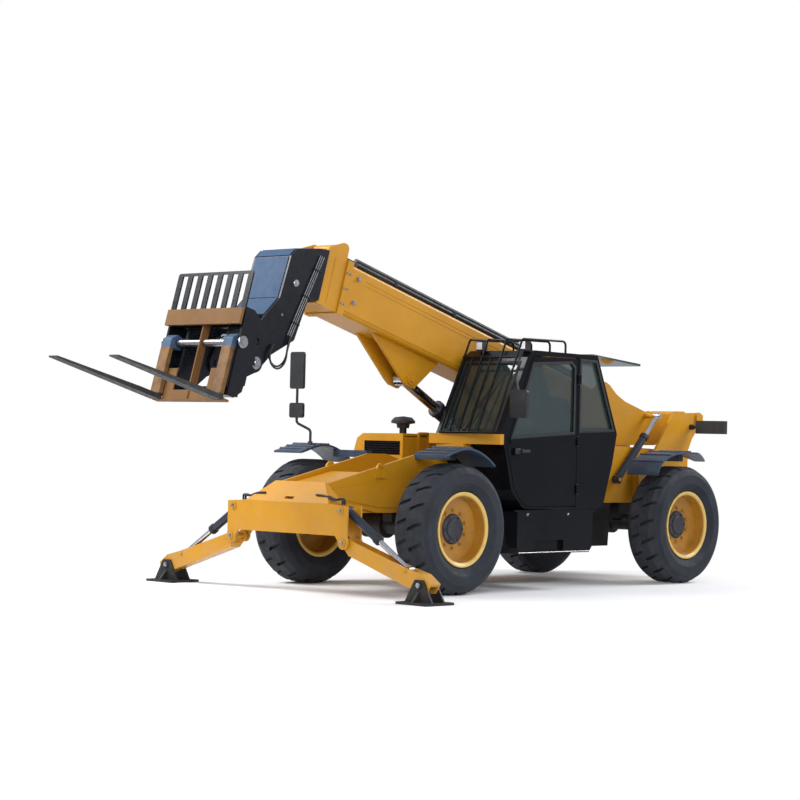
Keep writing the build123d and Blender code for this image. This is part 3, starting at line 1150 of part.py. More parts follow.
with BuildPart() as engine_hood:
    cross_plate(hood_section, hood_mid_x, HOOD_LENGTH)
    cross_plate(hood_hollow, hood_mid_x, HOOD_LENGTH - 2 * HOOD_WALL, Mode.SUBTRACT)
    block(HOOD_FRONT_X - HOOD_WALL - 1, HOOD_FRONT_X + 1, HOOD_OUTER_Y + 150, HOOD_INNER_Y - 50, grille_z0,
          grille_z0 + grille_height, mode=Mode.SUBTRACT)
    for i in range(GRILLE_SLATS):
        z = grille_z0 + (i + 0.5) * grille_height / GRILLE_SLATS
        plate(
            SIDE,
            [(HOOD_FRONT_X - HOOD_WALL, z + 7), (HOOD_FRONT_X - HOOD_WALL, z + 2), (HOOD_FRONT_X - 3, z - 9),
             (HOOD_FRONT_X - 3, z - 4)],
            (HOOD_OUTER_Y + HOOD_INNER_Y + 100) / 2, HOOD_INNER_Y - HOOD_OUTER_Y - 198,
        )
    # side vents in the outer panel
    for i in range(7):
        x = hood_rear_x + 300 + i * 90
        block(x, x + 45, HOOD_OUTER_Y - 1, HOOD_OUTER_Y + HOOD_WALL + 1, HOOD_SPLIT_Z + 90,
              HOOD_SPLIT_Z + 220,
              mode=Mode.SUBTRACT)
    bar_z(*PRECLEANER, 38, HOOD_TOP_Z - HOOD_WALL, HOOD_TOP_Z + 55)
    for x in (hood_rear_x + 300, HOOD_FRONT_X - 300):
        with BuildSketch(Plane.YZ.offset(x - 60)) as knuckle_ring:
            with Locations((HOOD_INNER_Y, HOOD_TOP_Z)):
                Circle(HINGE_RADIUS + 8)
        extrude(knuckle_ring.sketch, amount=120)
        cross_disc((HOOD_INNER_Y, HOOD_TOP_Z), HINGE_RADIUS + PIN_FIT, x, 140, Mode.SUBTRACT)
        # notches for the two posts of the hinge
        for out in (-1, 1):
            post_x = x + out * POST_SPREAD
            block(post_x - 14, post_x + 14, HOOD_INNER_Y - 45, HOOD_INNER_Y + 10, HOOD_TOP_Z - 60,
                  HOOD_TOP_Z + 5,
                  mode=Mode.SUBTRACT)
save(engine_hood.part, "engine_hood")

with BuildPart() as air_cleaner:
    with BuildSketch(Plane.XZ.offset(-PRECLEANER[1])) as cap_profile:
        with BuildLine():
            base_z = HOOD_TOP_Z + 55
            Polyline(
                (PRECLEANER[0], base_z), (PRECLEANER[0] + 62, base_z), (PRECLEANER[0] + 70, base_z + 42),
                (PRECLEANER[0] + 125, base_z + 52), (PRECLEANER[0] + 125, base_z + 76),
                (PRECLEANER[0] + 90, base_z + 112), (PRECLEANER[0], base_z + 124), close=True,
            )
        make_face()
    revolve(axis=Axis((PRECLEANER[0], PRECLEANER[1], 0), (0, 0, 1)))
save(air_cleaner.part, "air_cleaner")

COWL_BOTTOM_Z = 480.0
cowl_front_x = HOOD_FRONT_X - 75.0
with BuildPart() as engine_cowl:
    block(hood_rear_x, cowl_front_x, HOOD_OUTER_Y, -FRAME_OUTER_Y - 1, COWL_BOTTOM_Z,
          HOOD_SPLIT_Z - DOOR_GAP)
    block(hood_rear_x + HOOD_WALL, cowl_front_x - HOOD_WALL, HOOD_OUTER_Y + HOOD_WALL,
          -FRAME_OUTER_Y - HOOD_WALL,
          COWL_BOTTOM_Z + HOOD_WALL, HOOD_SPLIT_Z, mode=Mode.SUBTRACT)
    # hood hinge posts on the inner side, each with its pin
    for x in (hood_rear_x + 300, HOOD_FRONT_X - 300):
        cross_disc((HOOD_INNER_Y, HOOD_TOP_Z), HINGE_RADIUS, x, 180)
        for out in (-1, 1):
            cross_plate(
                [(HOOD_INNER_Y - 25, HOOD_SPLIT_Z - 60), (HOOD_INNER_Y + 12, HOOD_SPLIT_Z - 60),
                 (HOOD_INNER_Y + 12, HOOD_TOP_Z + 12), (HOOD_INNER_Y - 12, HOOD_TOP_Z + 12)],
                x + out * POST_SPREAD, 18,
            )
    # fixed inner wall beside the boom, inside the ends of the hood
    block(hood_rear_x + HOOD_WALL + SIDE_FIT, HOOD_FRONT_X - HOOD_WALL - SIDE_FIT, HOOD_INNER_Y - 23,
          HOOD_INNER_Y - 7, HOOD_SPLIT_Z - 60, HOOD_TOP_Z - HOOD_WALL - 10)
save(engine_cowl.part, "engine_cowl")

with BuildPart() as front_cowl:
    # painted sill under the windscreen
    with BuildSketch(Plane.XY.offset(CAB_SILL_Z)) as sill:
        with BuildLine():
            Polyline(
                (sill_x + 1, CAB_SHOULDER_Y), (FRONT_AXLE_X - 420, CAB_SHOULDER_Y),
                (FRONT_AXLE_X - 510, CAB_OUTER_Y),
                (sill_x + 1, CAB_OUTER_Y), close=True,
            )
        make_face()
    extrude(sill.sketch, amount=SILL_HEIGHT)
    plate(
        SIDE,
        [(sill_x + 1, CAB_SILL_Z + 1), (FRONT_AXLE_X - 450, CAB_SILL_Z + 1), (FRONT_AXLE_X - 450, 1300),
         (FRONT_AXLE_X - 480, 1300)],
        (CAB_INNER_Y + 700) / 2, 700 - CAB_INNER_Y,
    )
save(front_cowl.part, "front_cowl")

with BuildPart() as engine_block:
    block(hood_rear_x + 300, HOOD_FRONT_X - 350, -830, -460, COWL_BOTTOM_Z + HOOD_WALL, 1290)
save(engine_block.part, "engine_block")

with BuildPart() as counterweight:
    rounded_plate(
        SIDE,
        [(rear_end_x - 40, 560), (rear_end_x + 150, 560), (rear_end_x + 150, REAR_FLOOR_Z - 1),
         (rear_end_x - 40, REAR_FLOOR_Z - 1)],
        30, 0, 1240,
    )
save(counterweight.part, "counterweight")

with BuildPart() as rear_lamps:
    lamp_x = BOOM_PIVOT_X + 150.0
    for side in (-1, 1):
        # bar lamp on a ball-jointed stalk
        block(lamp_x - 35, lamp_x + 35, side * 520, side * 895, 1600, 1745)
        bar_y(lamp_x, 1672, 16, side * (TOWER_OUTER_Y + 0.5), side * 521)
        bar_y(lamp_x, 1672, 30, side * (TOWER_OUTER_Y + 0.5), side * (TOWER_OUTER_Y + 40))
save(rear_lamps.part, "rear_lamps")

# ---------------------------------------------------------------- cab fittings
GUARD_RADIUS = 11.0
GUARD_BARS = (415.0, 530.0, 650.0, 770.0, 890.0, 1090.0)
guard_foot_x = CAB_X + 1275.0
guard_top_x = CAB_X + 945.0
guard_foot_z = CAB_SILL_Z + SILL_HEIGHT + GUARD_RADIUS + 2
with BuildPart() as cab_guard:
    for y in GUARD_BARS:
        bar_between((guard_foot_x, y, guard_foot_z), (guard_top_x, y, 2285), GUARD_RADIUS)
    for x, z in ((guard_foot_x, guard_foot_z), (guard_top_x, 2285)):
        bar_y(x, z, GUARD_RADIUS + 2, GUARD_BARS[0] - 12, GUARD_BARS[-1] + 12)
    # bars that curve back over the roof
    for y in (GUARD_BARS[0], GUARD_BARS[2], GUARD_BARS[4], GUARD_BARS[5]):
        bent_tube(
            [(guard_top_x, y, 2285), (CAB_X + 860, y, 2465), (CAB_X + 190, y, 2470),
             (CAB_X + 190, y, CAB_TOP_Z - 4)],
            45, GUARD_RADIUS,
        )
save(cab_guard.part, "cab_guard")

with BuildPart() as work_lamps:
    for y in (460.0, 1016.0):
        block(CAB_X + 700, CAB_X + 770, y - 45, y + 45, CAB_TOP_Z - 2, CAB_TOP_Z + 90)
save(work_lamps.part, "work_lamps")

with BuildPart() as mirrors:
    bent_tube(
        [(MAST_X, -MAST_Y, MAST_FOOT_Z), (MAST_X, -MAST_Y, 1530), (MAST_X + 100, -MAST_Y - 100, 1600),
         (MAST_X + 100, -MAST_Y - 100, 2290)],
        45, 13,
    )
    for z0, z1 in ((1940, 2310), (1650, 1800)):
        with BuildSketch(Plane.YZ.offset(MAST_X + 85)) as head:
            with Locations((-MAST_Y - 100, (z0 + z1) / 2)):
                RectangleRounded(190, z1 - z0, 25)
        extrude(head.sketch, amount=30)
    # mirror on a bracket from the door post of the cab
    bent_tube([(CAB_X + 960, CAB_OUTER_Y - 10, 2000), (CAB_X + 1050, 1180, 2060),
               (CAB_X + 1100, 1270, 1900)], 40, 10)
    with BuildSketch(Plane.YZ.offset(CAB_X + 1085)) as left_head:
        with Locations((1270, 1825)):
            RectangleRounded(210, 270, 30)
    extrude(left_head.sketch, amount=35)
save(mirrors.part, "mirrors")

with BuildPart() as hose_tray:
    boom_block(2900, BASE_LENGTH - 110, -140, 20, top, top + 110)
    boom_block(2899, BASE_LENGTH - 109, -124, 4, top + 60, top + 112, mode=Mode.SUBTRACT)
save(hose_tray.part, "hose_tray")
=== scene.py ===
"""Looks for the telehandler: materials, small fittings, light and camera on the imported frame."""

import json
import math

import bmesh
import bpy
from mathutils import Matrix, Vector


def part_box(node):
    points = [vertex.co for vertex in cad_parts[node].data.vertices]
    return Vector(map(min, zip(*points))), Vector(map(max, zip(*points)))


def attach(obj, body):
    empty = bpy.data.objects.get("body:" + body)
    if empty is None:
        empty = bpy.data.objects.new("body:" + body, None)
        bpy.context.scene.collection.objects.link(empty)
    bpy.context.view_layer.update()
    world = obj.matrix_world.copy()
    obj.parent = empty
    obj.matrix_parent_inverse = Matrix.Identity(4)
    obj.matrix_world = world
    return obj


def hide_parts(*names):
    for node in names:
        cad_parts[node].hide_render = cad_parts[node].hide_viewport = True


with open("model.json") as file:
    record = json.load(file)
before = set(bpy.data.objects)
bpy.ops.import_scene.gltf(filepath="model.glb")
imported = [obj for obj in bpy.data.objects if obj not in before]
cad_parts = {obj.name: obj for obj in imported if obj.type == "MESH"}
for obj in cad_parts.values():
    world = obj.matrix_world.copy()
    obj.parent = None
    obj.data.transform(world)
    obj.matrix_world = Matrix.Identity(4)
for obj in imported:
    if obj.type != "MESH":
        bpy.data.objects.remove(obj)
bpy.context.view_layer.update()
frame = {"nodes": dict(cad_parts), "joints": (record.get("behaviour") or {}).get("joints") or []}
nodes = frame["nodes"]
joints = {j["name"]: j for j in frame["joints"]}

# ------------------------------------------------------------------ places
PIVOT = Vector(joints["boom_lift"]["pos_m"])
ALONG = Vector(joints["boom_extend"]["axis"]).normalized()
ACROSS = Vector((-ALONG.z, 0, ALONG.x))
FRONT_X = joints["roll_front_left"]["pos_m"][0]
REAR_X = joints["roll_rear_left"]["pos_m"][0]
AXLE_Z = joints["roll_front_left"]["pos_m"][2]
WHEEL_Y = 0.95
LEG_X = joints["stabiliser_left"]["pos_m"][0]
CAB_X = joints["cab_door"]["pos_m"][0]
SIDES = (("left", 1), ("right", -1))
HEAD_S = 5.93
CARRIAGE_S = HEAD_S + 1.07
HEEL_T = -1.962
TILT_S, TILT_T = HEAD_S + 0.625, -1.470


def boom(s, t, y=0.0):
    """Point given along and across the boom, in metres."""
    return PIVOT + ALONG * s + ACROSS * t + Vector((0, y, 0))


# ------------------------------------------------------------------ materials
def socket_name(node, *names):
    """First of these sockets that the node has, since their names differ between versions."""
    for name in names:
        if name in node.inputs:
            return node.inputs[name]
    raise KeyError(names)


class Recipe:
    """Small helper that strings shader nodes together."""

    def __init__(self, name):
        self.mat = bpy.data.materials.new(name)
        self.mat.use_nodes = True
        self.tree = self.mat.node_tree
        self.shader = self.tree.nodes["Principled BSDF"]
        self.coords = self.tree.nodes.new("ShaderNodeTexCoord").outputs["Object"]

    def link(self, out, into):
        self.tree.links.new(out, into)

    def noise(self, scale, detail=3.0, rough=0.5, stretch=None):
        node = self.tree.nodes.new("ShaderNodeTexNoise")
        node.inputs["Scale"].default_value = scale
        node.inputs["Detail"].default_value = detail
        node.inputs["Roughness"].default_value = rough
        source = self.coords
        if stretch:
            mapping = self.tree.nodes.new("ShaderNodeMapping")
            mapping.inputs["Scale"].default_value = stretch
            self.link(self.coords, mapping.inputs["Vector"])
            source = mapping.outputs["Vector"]
        self.link(source, node.inputs["Vector"])
        return node.outputs["Fac"]

    def wave(self, scale, direction="X"):
        node = self.tree.nodes.new("ShaderNodeTexWave")
        node.bands_direction = direction
        node.inputs["Scale"].default_value = scale
        node.inputs["Distortion"].default_value = 0.0
        self.link(self.coords, node.inputs["Vector"])
        return node.outputs["Fac"]

    def ramp(self, value, low, high, out_low=0.0, out_high=1.0):
        node = self.tree.nodes.new("ShaderNodeMapRange")
        node.inputs["From Min"].default_value = low
        node.inputs["From Max"].default_value = high
        node.inputs["To Min"].default_value = out_low
        node.inputs["To Max"].default_value = out_high
        self.link(value, node.inputs["Value"])
        return node.outputs["Result"]

    def math(self, kind, a, b):
        node = self.tree.nodes.new("ShaderNodeMath")
        node.operation = kind
        for value, place in ((a, node.inputs[0]), (b, node.inputs[1])):
            if isinstance(value, (int, float)):
                place.default_value = value
            else:
                self.link(value, place)
        return node.outputs["Value"]

    def axis(self, name):
        node = self.tree.nodes.new("ShaderNodeSeparateXYZ")
        self.link(self.coords, node.inputs["Vector"])
        return node.outputs[name]

    def far_from(self, x, z):
        """Distance from an axle line along Y, for rings of colour on a wheel."""
        dx = self.math("SUBTRACT", self.axis("X"), x)
        dz = self.math("SUBTRACT", self.axis("Z"), z)
        squares = self.math("ADD", self.math("MULTIPLY", dx, dx), self.math("MULTIPLY", dz, dz))
        return self.math("SQRT", squares, 0.0)

    def inside(self, low, high):
        """1 inside a box along the machine's axes and 0 outside it."""
        share = None
        for name, a, b in zip("XYZ", low, high):
            place = self.axis(name)
            for kind, edge in (("GREATER_THAN", a), ("LESS_THAN", b)):
                step = self.math(kind, place, edge)
                share = step if share is None else self.math("MULTIPLY", share, step)
        return share

    def along_boom(self, direction):
        """Place along one of the boom's own directions."""
        x = self.math("MULTIPLY", self.math("SUBTRACT", self.axis("X"), PIVOT.x), direction.x)
        z = self.math("MULTIPLY", self.math("SUBTRACT", self.axis("Z"), PIVOT.z), direction.z)
        return self.math("ADD", x, z)

    def mix(self, factor, a, b):
        node = self.tree.nodes.new("ShaderNodeMix")
        node.data_type = "RGBA"
        self.link(factor, node.inputs["Factor"])
        for value, place in ((a, node.inputs[6]), (b, node.inputs[7])):
            if isinstance(value, tuple):
                place.default_value = (*value, 1.0)
            else:
                self.link(value, place)
        return node.outputs[2]

    def bump(self, height, strength, distance):
        node = self.tree.nodes.new("ShaderNodeBump")
        node.inputs["Strength"].default_value = strength
        node.inputs["Distance"].default_value = distance
        self.link(height, node.inputs["Height"])
        self.link(node.outputs["Normal"], self.shader.inputs["Normal"])

    def constants(self, metallic=0.0, specular=0.5, coat=0.0, coat_rough=0.1, sheen=0.0):
        self.shader.inputs["Metallic"].default_value = metallic
        socket_name(self.shader, "Specular IOR Level", "Specular").default_value = specular
        socket_name(self.shader, "Coat Weight", "Clearcoat").default_value = coat
        socket_name(self.shader, "Coat Roughness", "Clearcoat Roughness").default_value = coat_rough
        socket_name(self.shader, "Sheen Weight", "Sheen").default_value = sheen


DUST = (0.34, 0.28, 0.21)


def paint(name, light, dark, rough=(0.28, 0.42), dust=0.35, coat=0.25, grain=220.0, dirt_top=1.1, rust=0.0,
          scuff=0.02, specular=0.5, zones=()):
    """Sprayed paint: slow colour drift, orange peel, scuffs and dust that thins out with height."""
    r = Recipe(name)
    drift = r.ramp(r.noise(1.7, 4.0, 0.6), 0.32, 0.68)
    colour = r.mix(drift, light, dark)
    scuffs = r.ramp(r.noise(9.0, 8.0, 0.72, (1.0, 1.0, 3.0)), 0.60, 0.74, 0.0, 0.30 + rust)
    colour = r.mix(scuffs, colour, tuple(0.45 * c + scuff for c in dark))
    for low, high, tone in zones:
        colour = r.mix(r.inside(low, high), colour, tone)
    height = r.ramp(r.axis("Z"), 0.1, dirt_top, dust, 0.04 * dust)
    cloud = r.ramp(r.noise(5.0, 6.0, 0.65), 0.36, 0.66, 0.15, 1.0)
    colour = r.mix(r.math("MULTIPLY", height, cloud), colour, DUST)
    r.link(colour, r.shader.inputs["Base Color"])
    r.link(r.ramp(r.noise(14.0, 5.0, 0.6), 0.3, 0.7, *rough), r.shader.inputs["Roughness"])
    r.bump(r.noise(grain, 2.0), 0.05, 0.002)
    r.constants(coat=coat, coat_rough=0.12, specular=specular)
    return r.mat


def metal(name, colour, rough=(0.16, 0.34), streak=(1.0, 14.0, 1.0), metallic=1.0):
    """Machined or plated steel with fine streaks."""
    r = Recipe(name)
    grey = r.ramp(r.noise(6.0, 5.0, 0.6, streak), 0.3, 0.7)
    r.link(r.mix(grey, colour, tuple(0.72 * c for c in colour)), r.shader.inputs["Base Color"])
    r.link(r.ramp(r.noise(40.0, 3.0, 0.6, streak), 0.3, 0.7, *rough), r.shader.inputs["Roughness"])
    r.bump(r.noise(160.0, 2.0, 0.5, streak), 0.08, 0.001)
    r.constants(metallic=metallic)
    return r.mat


def plastic(name, light, dark, rough=(0.45, 0.62), grain=320.0, strength=0.25, dust=0.2, coat=0.0):
    """Moulded plastic or rubber with a fine pebble grain."""
    r = Recipe(name)
    colour = r.mix(r.ramp(r.noise(3.0, 4.0, 0.6), 0.3, 0.7), light, dark)
    cloud = r.ramp(r.noise(7.0, 6.0, 0.7), 0.48, 0.72, 0.0, dust)
    r.link(r.mix(cloud, colour, DUST), r.shader.inputs["Base Color"])
    r.link(r.ramp(r.noise(22.0, 4.0), 0.3, 0.7, *rough), r.shader.inputs["Roughness"])
    r.bump(r.noise(grain, 3.0), strength, 0.0015)
    r.constants(coat=coat)
    return r.mat


def tyre_rubber(name, x):
    """Worn tread: dusty crown, darker side walls with moulded rings."""
    r = Recipe(name)
    far = r.far_from(x, AXLE_Z)
    colour = r.mix(r.ramp(r.noise(4.0, 6.0, 0.7), 0.34, 0.66), (0.011, 0.014, 0.020), (0.026, 0.031, 0.041))
    crown = r.math("MULTIPLY", r.ramp(far, 0.55, 0.61, 0.0, 0.30), r.ramp(r.noise(11.0, 6.0, 0.7), 0.36, 0.7))
    colour = r.mix(crown, colour, (0.085, 0.085, 0.088))
    r.link(colour, r.shader.inputs["Base Color"])
    r.link(r.ramp(r.noise(16.0, 5.0), 0.3, 0.7, 0.62, 0.86), r.shader.inputs["Roughness"])
    rings = r.math("SINE", r.math("MULTIPLY", far, 310.0), 0.0)
    rings = r.math("MULTIPLY", rings, r.ramp(far, 0.545, 0.56, 0.35, 0.0))
    r.bump(r.math("ADD", r.noise(90.0, 4.0, 0.6), rings), 0.35, 0.003)
    r.constants(specular=0.35)
    return r.mat


def rim_paint(name, x):
    """Rim: deep amber barrel, a pale flange ring painted as a highlight on the rim lip, and a black hub with a
    worn face.
    """
    r = Recipe(name)
    far = r.far_from(x, AXLE_Z)
    body = r.mix(r.ramp(r.noise(5.0, 5.0, 0.6), 0.3, 0.7), (0.46, 0.215, 0.018), (0.37, 0.165, 0.012))
    # painted highlight: the rim lip beyond 0.32 m is painted paler than the barrel, as where it catches the light
    body = r.mix(r.ramp(far, 0.318, 0.330), body, (0.74, 0.50, 0.13))
    hub = r.mix(r.ramp(r.noise(9.0, 5.0), 0.3, 0.7), (0.020, 0.023, 0.030), (0.036, 0.040, 0.050))
    colour = r.mix(r.ramp(far, 0.146, 0.149), hub, body)
    grime = r.ramp(r.noise(8.0, 7.0, 0.7), 0.5, 0.72, 0.0, 0.38)
    r.link(r.mix(grime, colour, (0.17, 0.11, 0.06)), r.shader.inputs["Base Color"])
    r.link(r.ramp(r.noise(18.0, 4.0), 0.3, 0.7, 0.34, 0.52), r.shader.inputs["Roughness"])
    r.bump(r.noise(200.0, 2.0), 0.06, 0.002)
    r.constants(coat=0.15)
    return r.mat


def glass(name, tint, alpha):
    """Cab pane: a tinted film, faint wiping streaks, strong clear reflections."""
    r = Recipe(name)
    streaks = r.ramp(r.noise(5.0, 5.0, 0.6, (1.0, 1.0, 0.3)), 0.3, 0.7)
    r.link(r.mix(streaks, tint, tuple(1.25 * c for c in tint)), r.shader.inputs["Base Color"])
    r.link(r.ramp(streaks, 0.0, 1.0, 0.02, 0.07), r.shader.inputs["Roughness"])
    rear_pane = r.math("LESS_THAN", r.axis("X"), CAB_X - 0.66)
    film = r.ramp(streaks, 0.0, 1.0, alpha, alpha + 0.06)
    r.link(r.math("MAXIMUM", film, r.math("MULTIPLY", rear_pane, 0.97)), r.shader.inputs["Alpha"])
    r.constants(specular=0.9)
    return r.mat


def fabric(name, light, dark):
    """Woven seat cover."""
    r = Recipe(name)
    weave = r.math("MULTIPLY", r.wave(95.0), r.wave(95.0, direction="Z"))
    r.link(r.mix(weave, dark, light), r.shader.inputs["Base Color"])
    r.link(r.ramp(r.noise(30.0), 0.3, 0.7, 0.78, 0.92), r.shader.inputs["Roughness"])
    r.bump(weave, 0.4, 0.002)
    r.constants(sheen=0.3)
    return r.mat


YELLOW = ((0.60, 0.278, 0.011), (0.525, 0.235, 0.009))
BLACK = (0.006, 0.006, 0.007)
GRILLE = ((FRONT_X - 0.75, -0.895, 1.299), (FRONT_X - 0.7195, -0.393, 1.441), BLACK)
STEM = ((FRONT_X - 1.14, -0.75, 1.5205), (FRONT_X - 1.04, -0.65, 1.60), BLACK)
yellow = paint("yellow_paint", *YELLOW, coat=0.12, specular=0.3, dust=0.28)
hood_yellow = paint("hood_paint", *YELLOW, coat=0.12, specular=0.3, dust=0.28, zones=(GRILLE, STEM))
cab_black = paint("cab_paint", (0.0030, 0.0036, 0.0052), (0.0046, 0.0055, 0.0080),
                  rough=(0.16, 0.28), dust=0.02, coat=0.10, scuff=0.001, specular=0.10)
head_black = paint("head_paint", (0.0050, 0.0060, 0.0085), (0.0085, 0.0100, 0.0140),
                   rough=(0.24, 0.36), dust=0.02, coat=0.15, scuff=0.003, specular=0.22)
frame_black = paint("frame_paint", (0.0075, 0.0080, 0.0095), (0.0140, 0.0145, 0.0165),
                    rough=(0.42, 0.6), dust=0.08, coat=0.0, scuff=0.004, specular=0.3)
steel_blue = paint("steel_blue_paint", (0.052, 0.098, 0.178), (0.038, 0.074, 0.138),
                   rough=(0.42, 0.56), dust=0.02, coat=0.0, scuff=0.006, specular=0.12)
dark_blue = paint("dark_blue_paint", (0.010, 0.015, 0.028), (0.017, 0.025, 0.044),
                  rough=(0.26, 0.4), dust=0.06, scuff=0.004, specular=0.35)
hub_blue = paint("hub_paint", (0.030, 0.036, 0.050), (0.020, 0.024, 0.034),
                 rough=(0.4, 0.55), dust=0.15, coat=0.0, scuff=0.01, specular=0.35)
tan = paint("tan_paint", (0.215, 0.105, 0.034), (0.165, 0.078, 0.024),
            rough=(0.5, 0.66), dust=0.05, coat=0.0, rust=0.2, specular=0.2)


def fork_paint(name):
    """Forks: worn dark blades, tan shanks and blue-grey eye blocks."""
    r = Recipe(name)
    worn = r.mix(r.ramp(r.noise(7.0, 6.0, 0.7), 0.34, 0.66), (0.022, 0.021, 0.022), (0.050, 0.046, 0.044))
    shank = r.mix(r.ramp(r.noise(9.0, 6.0, 0.7), 0.40, 0.62), (0.230, 0.115, 0.036), (0.140, 0.070, 0.026))
    eye = r.mix(r.ramp(r.noise(6.0, 4.0), 0.3, 0.7), (0.060, 0.110, 0.190), (0.040, 0.070, 0.125))
    along, across = r.along_boom(ALONG), r.along_boom(ACROSS)
    upper = r.math("GREATER_THAN", across, HEEL_T + 0.058)
    rear = r.math("LESS_THAN", along, CARRIAGE_S + 0.060)
    colour = r.mix(r.math("MULTIPLY", upper, rear), worn, shank)
    colour = r.mix(r.math("GREATER_THAN", across, -1.470), colour, eye)
    r.link(colour, r.shader.inputs["Base Color"])
    r.link(r.ramp(r.noise(20.0, 4.0), 0.3, 0.7, 0.45, 0.65), r.shader.inputs["Roughness"])
    r.bump(r.noise(120.0, 4.0), 0.12, 0.002)
    r.constants(specular=0.35)
    return r.mat


fork_metal = fork_paint("fork_steel")
pin_steel = metal("bare_steel", (0.52, 0.52, 0.54))
nut_paint = paint("nut_paint", (0.40, 0.165, 0.014), (0.30, 0.120, 0.012), dust=0.2, coat=0.0)
rod_chrome = metal("chrome_rod", (0.72, 0.72, 0.75), rough=(0.07, 0.16))
fender_plastic = plastic("fender_plastic", (0.042, 0.066, 0.108), (0.026, 0.042, 0.070),
                         rough=(0.32, 0.46), dust=0.12)
black_plastic = plastic("black_plastic", (0.0075, 0.0080, 0.0100), (0.013, 0.014, 0.017), dust=0.05)
hose_rubber = plastic("hose_rubber", (0.0065, 0.0065, 0.0075), (0.012, 0.012, 0.013),
                      rough=(0.42, 0.6), grain=500.0, dust=0.05)
seal_rubber = plastic("seal_rubber", (0.006, 0.006, 0.007), (0.010, 0.010, 0.011),
                      rough=(0.6, 0.75), dust=0.02)
cab_glass = glass("cab_glass", (0.026, 0.044, 0.042), 0.70)
seat_cloth = fabric("seat_fabric", (0.060, 0.060, 0.066), (0.020, 0.020, 0.023))
mirror_face = metal("mirror_face", (0.74, 0.76, 0.78), rough=(0.02, 0.06))
lens_clear = plastic("lamp_lens", (0.80, 0.82, 0.84), (0.66, 0.69, 0.72),
                     rough=(0.06, 0.16), strength=0.05, dust=0.04, coat=0.6)
lens_red = plastic("red_lens", (0.42, 0.015, 0.012), (0.30, 0.010, 0.008),
                   rough=(0.12, 0.22), strength=0.05, dust=0.05, coat=0.5)
lens_amber = plastic("amber_lens", (0.75, 0.24, 0.015), (0.60, 0.17, 0.010),
                     rough=(0.12, 0.22), strength=0.05, dust=0.05, coat=0.5)


def dress(mat, *names):
    """Gives CAD nodes one material over all their faces."""
    for name in names:
        data = nodes[name].data
        data.materials.clear()
        data.materials.append(mat)


dress(yellow, "side_frames", "levelling_foot", "tower_plates", "cross_members", "stabiliser_beam",
      "boom_base", "boom_mid", "counterweight", "engine_cowl", "front_cowl",
      "stabiliser_leg_left", "stabiliser_leg_right")
dress(hood_yellow, "engine_hood")
dress(frame_black, "belly_frame", "axles", "engine_block", "stabiliser_foot_left", "stabiliser_foot_right")
dress(cab_black, "cab_frame", "cab_sides", "cab_door", "side_step", "cab_guard")
dress(head_black, "boom_fly", "coupler", "load_rack")
dress(tan, "carriage_frame")
dress(fork_metal, "forks")
dress(fender_plastic, "fenders")
dress(black_plastic, "rear_lamps", "mirrors", "air_cleaner", "controls", "hose_tray", "work_lamps")
dress(cab_glass, "cab_glass", "door_glass")
dress(seat_cloth, "seat")
for name in ("lift_ram", "tilt_ram", "levelling_ram", "stabiliser_ram_left", "stabiliser_ram_right"):
    dress(dark_blue, name + "_barrel")
    dress(rod_chrome, name + "_rod")
for end, x in (("front", FRONT_X), ("rear", REAR_X)):
    rubber = tyre_rubber(f"tyre_rubber_{end}", x)
    amber = rim_paint(f"rim_paint_{end}", x)
    for side, _ in SIDES:
        dress(frame_black, f"knuckle_{end}_{side}")
        dress(rubber, f"tyre_{end}_{side}")
        dress(amber, f"rim_{end}_{side}")


# ------------------------------------------------------------------ camera, floor and light
camera_data = bpy.data.cameras.new("camera")
camera_data.sensor_width = 36.0
camera_data.lens = 99.0
camera_data.clip_end = 200.0
camera = bpy.data.objects.new("camera", camera_data)
bpy.context.scene.collection.objects.link(camera)
CAMERA_AT = Vector((16.191, 14.804, 1.454))
YAW, PITCH, ROLL = 0.7495, 0.01806, 0.02371
ahead = Vector((-math.cos(YAW) * math.cos(PITCH), -math.sin(YAW) * math.cos(PITCH), math.sin(PITCH)))
level = ahead.cross(Vector((0, 0, 1))).normalized()
upright = level.cross(ahead)
right = math.cos(ROLL) * level + math.sin(ROLL) * upright
up = -math.sin(ROLL) * level + math.cos(ROLL) * upright
camera.matrix_world = Matrix.Translation(CAMERA_AT) @ Matrix((right, up, -ahead)).transposed().to_4x4()
bpy.context.scene.camera = camera
bpy.context.scene.view_settings.view_transform = "Standard"


def object_from(name, verts, faces, mat=None):
    """Plain mesh object from points and faces."""
    data = bpy.data.meshes.new(name)
    data.from_pydata([tuple(v) for v in verts], [], faces)
    data.update()
    made = bpy.data.objects.new(name, data)
    bpy.context.scene.collection.objects.link(made)
    if mat:
        data.materials.append(mat)
    return made


def floor_material():
    """Pale floor that takes the shadow near the machine and fades into the white ground further out."""
    r = Recipe("floor_paint")
    speck = r.ramp(r.noise(0.6, 3.0), 0.3, 0.7)
    r.link(r.mix(speck, (0.95, 0.95, 0.95), (0.97, 0.97, 0.97)), r.shader.inputs["Base Color"])
    r.shader.inputs["Roughness"].default_value = 0.9
    r.constants(specular=0.1)
    far = r.math("ADD", r.math("MULTIPLY", r.axis("X"), r.axis("X")),
                 r.math("MULTIPLY", r.axis("Y"), r.axis("Y")))
    r.link(r.ramp(r.math("SQRT", far, 0.0), 2.5, 6.5, 1.0, 0.0), r.shader.inputs["Alpha"])
    return r.mat


FLOOR_HALF = 6.6
floor = object_from(
    "floor", [(-FLOOR_HALF, -FLOOR_HALF, -0.002), (FLOOR_HALF, -FLOOR_HALF, -0.002),
              (FLOOR_HALF, FLOOR_HALF, -0.002), (-FLOOR_HALF, FLOOR_HALF, -0.002)], [(0, 1, 2, 3)],
    floor_material(),
)

